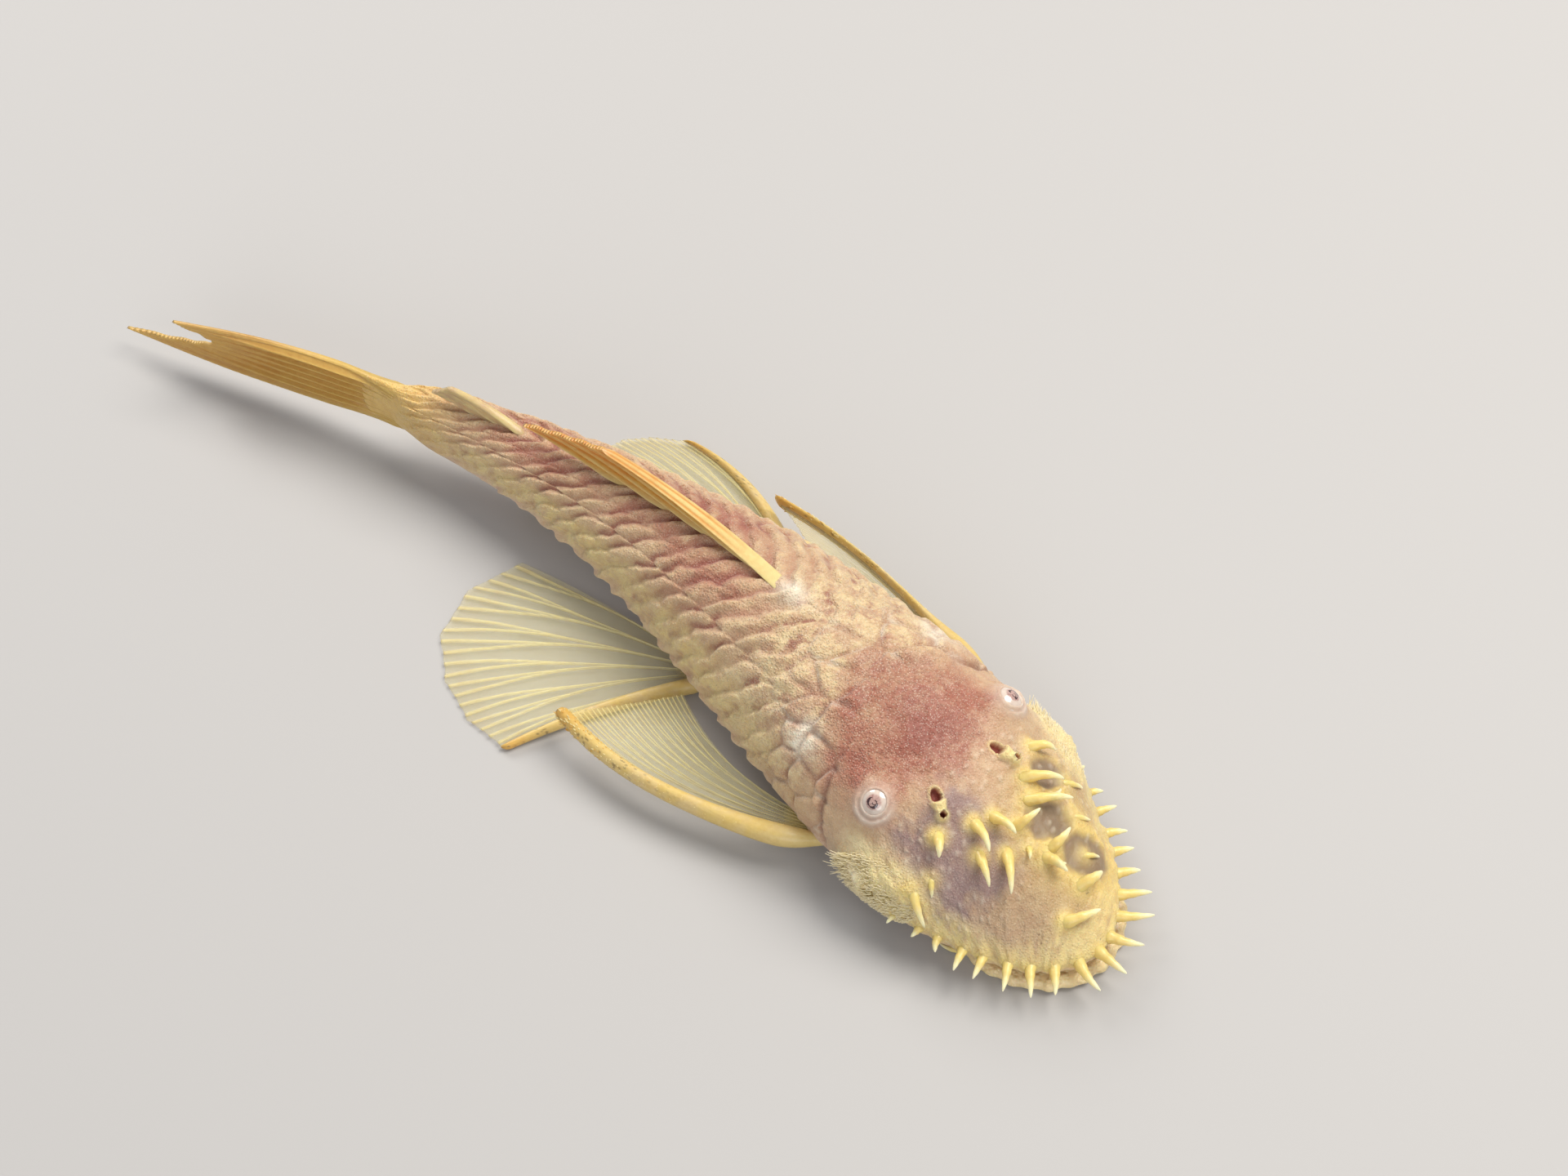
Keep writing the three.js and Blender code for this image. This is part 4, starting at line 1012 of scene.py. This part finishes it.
# Eyes: a small wet globe with the lobed pupil of these fishes
def build_eye(side):
    here, normal, ahead, left = surface_frame(EYE["s"], EYE["t"] * side)
    centre = here + normal * (EYE["out"] - EYE["radius"] * 0.45 + EYE_LIFT)
    polar = np.linspace(0.002, np.pi - 0.002, 120)
    around = np.linspace(0, 2 * np.pi, 160, endpoint=False)
    p, a = np.meshgrid(polar, around, indexing="ij")
    radius = EYE["radius"] + 0.02
    r = np.sin(p) * radius
    x, y = r * np.cos(a), r * np.sin(a)
    points = centre + np.cos(p)[..., None] * radius * normal + x[..., None] * ahead + y[..., None] * left
    # A dark horseshoe, open towards the fish's outer side, with a curl in it
    out = y * side
    horse = (abs(np.hypot(x, out + 0.04) - 0.46) < 0.09 + 0.04 * np.sin(3 * a)) & (out < 0.22)
    curl = (abs(np.hypot(x - 0.12, out - 0.05) - 0.2) < 0.045) & (x > -0.02)
    pupil = (horse | curl) & (np.cos(p) > 0)
    streak = cloud(np.cos(a) * 5 + r * 3, np.sin(a) * 5 + r * 3, 3, 3)
    iris = lay(plain(IRIS, p), IRIS_STREAK, 0.35 + streak)
    iris = shade(iris, LID, 0.85 * smoothstep(0.62, 0.8, r))
    tint = np.where(pupil[..., None], PUPIL, iris)
    name = "left" if side > 0 else "right"
    thing = wrapped_grid(points, tint, f"eyeball_{name}", points[0].mean(0), points[-1].mean(0))
    thing.data.materials.append(eye_material)
    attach(thing, "root")
    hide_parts(f"eye_{name}")


for side in (1, -1):
    build_eye(side)


# Mouth disc: v runs from the middle of the underside, over the rim, to the middle of the top
MOUTH = {"s": 8.2, "length": 9.1, "width": 8.2, "height": 1.25}
MOUTH_RINGS, MOUTH_SIDES = 70, 200
RIM_START, RIM_END = 0.6, 0.72


def build_mouth():
    levels = np.linspace(0, 1, MOUTH_RINGS)
    around = np.linspace(0, 2 * np.pi, MOUTH_SIDES, endpoint=False)
    v, a = np.meshgrid(levels, around, indexing="ij")
    under = v < RIM_START
    rho = np.where(under, v / RIM_START, 1 - np.clip((v - RIM_END) / (1 - RIM_END), 0, 1))
    lobes = 1 + 0.012 * np.sin(a * 17) + 0.01 * np.sin(a * 29 + 1)
    reach = np.clip(rho, 0.001, 1) * np.where(rho > 0.8, lobes, 1)
    s = MOUTH["s"] - MOUTH["length"] * reach * np.cos(a)
    t = MOUTH["width"] * reach * np.sin(a)
    rim = np.clip((v - RIM_START) / (RIM_END - RIM_START), 0, 1)
    floor_z = 0.62 * (1 - smoothstep(0.62, 0.86, rho)) + 0.4 * smoothstep(0.96, 1.0, rho)
    floor_z = floor_z + 0.05 * cloud(s * 1.2, t * 1.2, 2, 3) * (rho < 0.9)
    slit = hump(s - MOUTH["s"] + 0.4, 0.75) * (1 - smoothstep(2.4, 3.2, abs(t)))
    floor_z = np.clip(floor_z + 0.3 * slit, 0, 0.95)
    z = np.where(under, floor_z, mix(0.4, MOUTH["height"], rim**0.8))
    squeeze = np.where(under, 1, 1 - 0.07 * rim**2)
    points = np.stack([MOUTH["s"] + (s - MOUTH["s"]) * squeeze, t * squeeze, z], -1)
    tint = shade(plain(LIP, v), LIP_INNER, (1 - smoothstep(0.55, 0.85, rho)) * 0.7)
    tint = shade(tint, MOUTH_RED, slit * 0.7 * under)
    bottom, top = [MOUTH["s"], 0, z[0, 0]], [MOUTH["s"], 0, MOUTH["height"]]
    thing = wrapped_grid(points, tint, "mouth_lips", bottom, top)
    thing.data.materials.append(lip_material)
    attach(thing, "root")
    return thing


mouth = build_mouth()
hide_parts("mouth_disc")


def build_barbels():
    gather = Gather()
    for side in (1, -1):
        root, knee, tip = (
            (MOUTH["s"] + s, side * (MOUTH["width"] + t), z)
            for s, t, z in ((0.6, -0.6, 0.6), (1.5, 0.6, 0.6), (2.9, 0.9, 0.4))
        )
        tentacle(gather, root, knee, tip, 0.38, home_of(10, 9 * side))
    return gather.make("mouth_barbels", tentacle_material)


barbels = build_barbels()


# Fins
SPINE_STEPS = 14
NOTCH = 0.005
RAY_START = -0.07  # every ray starts inside the body
# How far behind and inside its first ray a paired fin's last one starts
PAIRED_BASE = (2.2, 0.9)


def shares(count):
    return np.arange(count) / (count - 1)


def ray_path(base, tip, bow=(0, 0, 0)):
    base, tip, bow = (np.asarray(p, float) for p in (base, tip, bow))

    def at(u):
        u = np.asarray(u, float)[..., None]
        return base + (tip - base) * u + bow * 4 * u * (1 - u)

    return at


def ray_ridges(local, u, width):
    """Share of a ray at a distance from its middle: one stem, then two, then four branches."""
    first = 0.25 * smoothstep(0.1, 0.85, u)
    second = 0.125 * smoothstep(0.4, 1.0, u)
    width = width * (1.5 - 0.9 * smoothstep(0.0, 0.6, u))
    return hump(np.minimum(abs(abs(local) - first - second), abs(abs(local) - first + second)), width)


def spine_column(rays, u, side, spine, spine_tip, strands):
    """A spine's points and half thickness along u, at side from -1 (its front) to 1."""
    radius = mix(spine, spine_tip, np.clip(u, 0, 1) ** 1.3) * (0.55 + 0.45 * smoothstep(RAY_START, 0.08, u))
    radius = radius * np.sqrt(np.clip(1 - ((u - 0.965) / 0.036) ** 2 * (u > 0.965), 0.03, 1))
    radius = radius * (1 + strands * np.cos(5 * np.arccos(-side)) * smoothstep(0.12, 0.5, u))
    toward = rays[1](u) - rays[0](u)
    toward /= np.linalg.norm(toward, axis=1)[:, None] + 1e-9
    thinnest = 0.03 if side < -0.99 else 0.06
    half = np.maximum(radius * np.sqrt(np.maximum(0, 1 - side**2)), thinnest)
    return rays[0](u) + toward * ((side - 0.8) * radius)[:, None], half


def sheet_quads(columns, rows):
    """Faces of a closed sheet: an upper grid of points, a lower one after it, and walls."""
    size = columns * rows
    last = size - rows
    edge = [(i, i + 1) for i in range(rows - 1)]
    edge += [(c * rows + rows - 1, (c + 1) * rows + rows - 1) for c in range(columns - 1)]
    edge += [(last + i, last + i - 1) for i in range(rows - 1, 0, -1)]
    edge += [(c * rows, (c - 1) * rows) for c in range(columns - 1, 0, -1)]
    walls = np.array([(a, size + a, size + b, b) for a, b in edge])
    return np.r_[grid_quads(columns, rows), grid_quads(columns, rows, start=size)[:, ::-1], walls]


def build_fin(name, node, rays, up, tints, material, spine=0.0, spine_tip=0.0, pleat=0.0, flesh=0.0,
              strands=0.0, notch=NOTCH, across=26, along=100, ray_half=0.34, web_half=0.07, width=0.05):
    """A closed thin sheet over the rays, with each ray a branching ridge."""
    count = len(rays)
    columns = [("web", x, 0.0) for x in np.linspace(0, count - 1, (count - 1) * across + 1)]
    if spine > 0:
        sides = -np.cos(np.linspace(0, 0.86 * np.pi, SPINE_STEPS))
        columns = [("spine", 0.0, side) for side in sides] + columns[1:]
    u_line = np.linspace(RAY_START, 1, along)
    upper, lower, thick, where = [], [], [], []
    for kind, x, side in columns:
        low = min(int(math.floor(x)), count - 2)
        local = x - round(x)
        short = notch * (1 - (2 * abs(local) - 1) ** 4 + 0.8 * np.sin(x * 9.0) ** 2) if kind == "web" else 0
        u = u_line * (1 - short)
        fade_in = np.clip(u, 0, 1)
        normal = np.broadcast_to(up, (len(u), 3))
        if kind == "spine":
            point, half = spine_column(rays, u, side, spine, spine_tip, strands)
            ridge = np.ones_like(u)
        else:
            fold = pleat * np.cos(np.pi * x) * smoothstep(0, 0.25, u) * (1 - 0.8 * smoothstep(0.55, 1, u))
            point = mix(rays[low](u), rays[low + 1](u), x - low) + normal * fold[:, None]
            ridge = ray_ridges(local, u, width)
            joints = 1 - 0.2 * (0.5 + 0.5 * np.cos(u * 170)) * smoothstep(0.3, 0.5, u)
            half = web_half + (mix(ray_half, web_half * 1.6, fade_in**0.8) - web_half) * ridge * joints
        half = half + flesh * np.clip(1 - fade_in / 0.22, 0, 1) ** 2
        upper.append(point + normal * half[:, None])
        lower.append(point - normal * half[:, None])
        thick.append(np.maximum(0.75 * ridge if kind == "web" else ridge, 1 - smoothstep(0.0, 0.1, u)))
        where.append(np.full_like(u, x if kind == "web" else -0.5 + 0.4 * side))
    thick, where = np.array(thick), np.array(where)
    flat = np.r_[np.array(upper).reshape(-1, 3), np.array(lower).reshape(-1, 3)]
    tint = np.tile(tints(where, np.broadcast_to(u_line, thick.shape), thick).reshape(-1, 3), (2, 1))
    values = {"Thick": np.tile(thick.ravel(), 2)}
    thing = add_mesh(name, bend(*flat.T), sheet_quads(*thick.shape), tint, values)
    thing.data.materials.append(material)
    face_out(thing)
    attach(thing, "root")
    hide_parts(node)
    return thing


# Directions across a fin that lies flat and one that stands up
FLAT_UP = (0.0, 0.0, 1.0)
SIDE_UP = (0.0, 1.0, 0.0)


def spread_tints(where, u, thick):
    freckle = cloud(where * 2.3 + 3, u * 26, 2, 3)
    fine = noise2(where * 17 + 9, u * 190, 5)
    tint = lay(plain(MEMBRANE, where), RAY, thick * 0.75)
    tint = lay(tint, EDGE_YELLOW, 0.35 * smoothstep(0.75, 1, u) + 0.3 * freckle, 0.6)
    spine_tint = shade(plain(SPINE, where), SPINE_TIP, 0.75 * smoothstep(0.78, 1.0, u))
    spine_tint = shade(spine_tint, CREAM, np.clip(0.25 + freckle, 0, 0.6) * (1 - smoothstep(0.5, 0.9, u)))
    spine_tint = shade(spine_tint, SPECK, 0.7 * (fine > 0.86) * smoothstep(0.25, 0.7, u))
    tint = np.where((where < -0.02)[..., None], spine_tint, tint)
    return shade(tint, STRAW, 0.5 * (1 - smoothstep(0, 0.12, u)))


PECTORAL = {
    "z": 3.1,
    "spine": 1.15,
    "spine_tip": 0.84,
    "inner_tip": (46.5, 1.1, 2.75),  # its s, distance from the flank and z
    "inner_bow": 1.5,
    1: {"from": (26.7, 10.9), "tip": (55.0, 12.6, 3.4), "bow": 1.4},
    -1: {"from": (26.7, 11.4), "tip": (53.5, 18.8, 3.6), "bow": 3.0},
}


def pectoral_rays(side, count=7):
    fin = PECTORAL[side]
    from_s, from_t = fin["from"]
    tip_s, tip_t, tip_z = fin["tip"]
    inner_s, gap, inner_z = PECTORAL["inner_tip"]
    inner_t = float(half_width(inner_s)) + gap
    rays = []
    for v in shares(count):
        start = (from_s + PAIRED_BASE[0] * v, side * (from_t - PAIRED_BASE[1] * v), PECTORAL["z"] - 0.2 * v)
        end = (mix(tip_s, inner_s, v**0.8), side * mix(tip_t, inner_t, v), mix(tip_z, inner_z, v))
        rays.append(ray_path(start, end, (0, side * mix(fin["bow"], PECTORAL["inner_bow"], v), 0)))
    return rays


PELVIC = {
    "from": (47.5, 6.3, 0.95),
    "inner_z": 0.75,
    "spine_tip_z": 0.44,
    "ray_tip_z": 0.26,
    -1: {"angles": (62, 4), "lengths": (20.8, 26.3, 27.8, 22.0), "bow": 0.0},
    1: {"angles": (22, -2), "lengths": (21.6, 24.4, 24.6, 20.5), "bow": 2.2},
}


def pelvic_rays(side, count=6):
    fin = PELVIC[side]
    from_s, from_t, from_z = PELVIC["from"]
    reach = profile(list(zip((0, 0.4, 0.65, 1), fin["lengths"])))
    rays = []
    for n, v in enumerate(shares(count)):
        angle = math.radians(mix(*fin["angles"], v))
        s, t = from_s + PAIRED_BASE[0] * v, side * (from_t - PAIRED_BASE[1] * v)
        tip_z = PELVIC["spine_tip_z"] if n == 0 else PELVIC["ray_tip_z"]
        end = (s + math.cos(angle) * reach(v), t + side * math.sin(angle) * reach(v), tip_z)
        start = (s, t, mix(from_z, PELVIC["inner_z"], v))
        rays.append(ray_path(start, end, (0.5, side * fin["bow"] * (1 - v), 0.1)))
    return rays


for side, word in ((1, "left"), (-1, "right")):
    build_fin(
        f"pectoral_{word}", f"pectoral_fin_{word}", pectoral_rays(side), FLAT_UP, spread_tints,
        spread_fin_material, spine=PECTORAL["spine"], spine_tip=PECTORAL["spine_tip"],
    )
    build_fin(
        f"pelvic_{word}", f"pelvic_fin_{word}", pelvic_rays(side), FLAT_UP, spread_tints,
        spread_fin_material, spine=0.9, spine_tip=0.42, width=0.045, ray_half=0.26,
    )


DORSAL = {"from": DORSAL_START, "to": 62.0, "first_tip": (66.0, 15.5), "last_tip": (75.5, 12.4)}


def dorsal_rays(count=8):
    rays = []
    for v in shares(count):
        s = mix(DORSAL["from"], DORSAL["to"], v)
        tip_s, tip_z = mix(np.array(DORSAL["first_tip"]), np.array(DORSAL["last_tip"]), v)
        rays.append(ray_path((s, 0, float(top_z(s)) - 0.2), (tip_s, 0, tip_z), (0, 0, 0.35)))
    return rays


def dorsal_tints(where, u, thick):
    freckle = cloud(where * 2.3, u * 22, 4, 3)
    tint = shade(plain(DORSAL_GOLD, where), YELLOW_PALE, 0.7 * thick)
    line = hump(where % 1.0 - 0.5, 0.16) * smoothstep(0.1, 0.4, u)
    tint = lay(tint, DORSAL_ORANGE, 0.75 * line + 0.5 * freckle, 0.85)
    round_it = np.arccos(np.clip(-(where + 0.5) / 0.4, -1, 1))
    furrow = np.where(where < -0.02, smoothstep(0.1, 0.8, -np.cos(5 * round_it)), 0)
    tint = shade(tint, DORSAL_ORANGE, 0.85 * furrow * smoothstep(0.15, 0.55, u))
    tint = shade(tint, YELLOW_PALE, 0.55 * (1 - smoothstep(0.15, 0.5, u)))
    tint = shade(tint, DORSAL_ORANGE, 0.4 * smoothstep(0.6, 1.0, u))
    return shade(tint, WHITE, 0.7 * (1 - smoothstep(-0.02, 0.14, u)))


# Each ray's root s, tip s, tip height and bow
ADIPOSE = ((76.3, 84.4, 12.5, 0.4), (78.6, 85.2, 11.7, 0.25), (81.2, 86.2, 11.0, 0.1))


def adipose_rays():
    return [
        ray_path((s, 0, float(top_z(s)) + 0.1), (tip_s, 0, tip_z), (0, 0, bow))
        for s, tip_s, tip_z, bow in ADIPOSE
    ]


def adipose_tints(where, u, thick):
    return lay(plain(STRAW, where), TAN, 0.5 + cloud(where * 3, u * 9, 1, 2))


ANAL = {"from": 65.5, "to": 68.7, "first_tip": (75.0, -0.8, 0.55), "last_tip": (76.2, -0.8, 1.45)}


def anal_rays(count=5):
    rays = []
    for v in shares(count):
        s = mix(ANAL["from"], ANAL["to"], v)
        tip = mix(np.array(ANAL["first_tip"]), np.array(ANAL["last_tip"]), v)
        rays.append(ray_path((s, 0, float(bottom_z(s)) - 0.2), tip, (0, 0, -0.2)))
    return rays


build_fin(
    "dorsal", "dorsal_fin", dorsal_rays(), SIDE_UP, dorsal_tints, folded_fin_material,
    spine=0.8, spine_tip=0.4, pleat=0.42, strands=0.13, notch=0.0, web_half=0.16, width=0.16,
)
build_fin(
    "adipose", "adipose_fin", adipose_rays(), SIDE_UP, adipose_tints, folded_fin_material,
    spine=0.5, spine_tip=0.28, web_half=0.2, along=50,
)
build_fin(
    "anal", "anal_fin", anal_rays(), SIDE_UP, spread_tints, folded_fin_material,
    spine=0.5, spine_tip=0.32, web_half=0.15, along=50,
)

CAUDAL = {
    "from": 90.9, "top": 9.0, "bottom": 3.7, "fork": 7,
    "upper_tip": (115.6, -0.2, 8.2), "lower_tip": (122.5, 1.4, 2.6),
}


def caudal_rays(count=14):
    rays = []
    for v in shares(count):
        end = mix(np.array(CAUDAL["upper_tip"]), np.array(CAUDAL["lower_tip"]), v)
        end[0] -= math.sin(math.pi * v) ** 0.8 * CAUDAL["fork"]
        start = (CAUDAL["from"], 0, mix(CAUDAL["top"], CAUDAL["bottom"], v))
        rays.append(ray_path(start, end, (0, 0, mix(0.8, -0.9, v))))
    return rays


def caudal_tints(where, u, thick):
    freckle = cloud(where * 1.7, u * 20, 5, 3)
    tint = lay(plain(CAUDAL_DARK, where), CAUDAL_GOLD, 0.5 + thick * 0.5)
    tint = lay(tint, CAUDAL_DARK, 0.5 * hump(u - 0.72, 0.2) + 0.5 * freckle, 0.8)
    return shade(tint, shade(TAN, CAUDAL_GOLD, 0.85), 0.9 * (1 - smoothstep(0.0, 0.3, u)))


build_fin(
    "caudal", "caudal_fin", caudal_rays(), SIDE_UP, caudal_tints, folded_fin_material,
    pleat=0.35, flesh=0.5, notch=0.0, web_half=0.14, width=0.14,
)


SPINE_HOOKS = 420


def build_spine_odontodes():
    """Small backward hooks on the pectoral spines, longest near their tips."""
    gather = Gather()
    draw = np.random.default_rng(23)
    up = np.array([0, 0, 1.0])
    for side in (1, -1):
        first, second = pectoral_rays(side)[:2]
        for _ in range(SPINE_HOOKS):
            u = draw.uniform(0.1, 0.97)
            a = draw.uniform(-2.6, 2.6)
            radius = mix(PECTORAL["spine"], PECTORAL["spine_tip"], u**1.3)
            toward = second(u) - first(u)
            toward /= np.linalg.norm(toward)
            ahead = first(min(u + 0.02, 1)) - first(u - 0.02)
            ahead /= np.linalg.norm(ahead)
            out = -toward * math.cos(a) + up * math.sin(a)
            root = first(u) - toward * 0.8 * radius + out * radius * 0.94
            length = (0.08 + 0.22 * smoothstep(0.55, 1.0, u)) * draw.uniform(0.7, 1.2)
            tip = root + out * length * 0.7 + ahead * length * 0.9
            path = np.r_[[root - out * 0.12], [root], [(root + tip) / 2 + out * 0.08 * length], [tip]]
            tints = np.repeat([SPINE_TIP if draw.random() < 0.45 * u else YELLOW_PALE], 4, axis=0)
            gather.add(path, np.array([0.07, 0.07, 0.05, 0.015]), tints, 5, home_of(root[0], root[1]))
    return gather.make("spine_odontodes", bristle_material)


odontodes = build_spine_odontodes()

# Floor
FLOOR_HALF, FLOOR_Z = 3, -0.00002
corners = [(x * FLOOR_HALF, y * FLOOR_HALF, FLOOR_Z) for x, y in ((-1, -1), (1, -1), (1, 1), (-1, 1))]
floor_mesh = bpy.data.meshes.new("floor")
floor_mesh.from_pydata(corners, [], [(0, 1, 2, 3)])
floor = bpy.data.objects.new("floor", floor_mesh)
bpy.context.scene.collection.objects.link(floor)
floor_material, _, floor_shader = new_material("pale_floor", 0.6, 0.0, coat=0.0)
floor_shader.inputs["Base Color"].default_value = (*FLOOR_GREY, 1)
floor.data.materials.append(floor_material)

# Light
world = bpy.data.worlds.new("studio")
bpy.context.scene.world = world
world.use_nodes = True
sky = world.node_tree.nodes["Background"]
sky.inputs["Color"].default_value = (0.82, 0.86, 0.92, 1)
sky.inputs["Strength"].default_value = 0.5


def add_light(name, place, size, power, tint=(1, 1, 1)):
    """A round light that faces the middle of the model."""
    light = bpy.data.lights.new(name, "AREA")
    light.shape = "DISK"
    light.size = size
    light.energy = power
    light.color = tint
    thing = bpy.data.objects.new(name, light)
    thing.location = place
    thing.rotation_euler = (-Vector(place)).to_track_quat("-Z", "Y").to_euler()
    bpy.context.scene.collection.objects.link(thing)


add_light("key", (0.15, 0.35, 0.6), 0.5, 5.2, (1.0, 0.98, 0.94))
add_light("fill", (0.5, -0.5, 0.35), 0.5, 2.0, (0.94, 0.97, 1.0))
add_light("rim", (-0.5, 0.15, 0.4), 0.3, 2.0)

# Camera, at the photo's angle
AZIMUTH, ELEVATION, DISTANCE = math.radians(43.5), math.radians(55.0), 0.321
TARGET = Vector((0.0090, 0.0127, 0.0))
level = Vector((-math.sin(AZIMUTH), math.cos(AZIMUTH), 0))
forward = level * math.cos(ELEVATION) - Vector((0, 0, math.sin(ELEVATION)))
camera_data = bpy.data.cameras.new("camera")
camera_data.sensor_width = 36
camera_data.lens = 75
camera_data.clip_start = 0.01
camera = bpy.data.objects.new("camera", camera_data)
camera.location = TARGET - forward * DISTANCE
camera.rotation_euler = forward.to_track_quat("-Z", "Y").to_euler()
bpy.context.scene.collection.objects.link(camera)
bpy.context.scene.camera = camera
bpy.context.scene.view_settings.view_transform = "Standard"
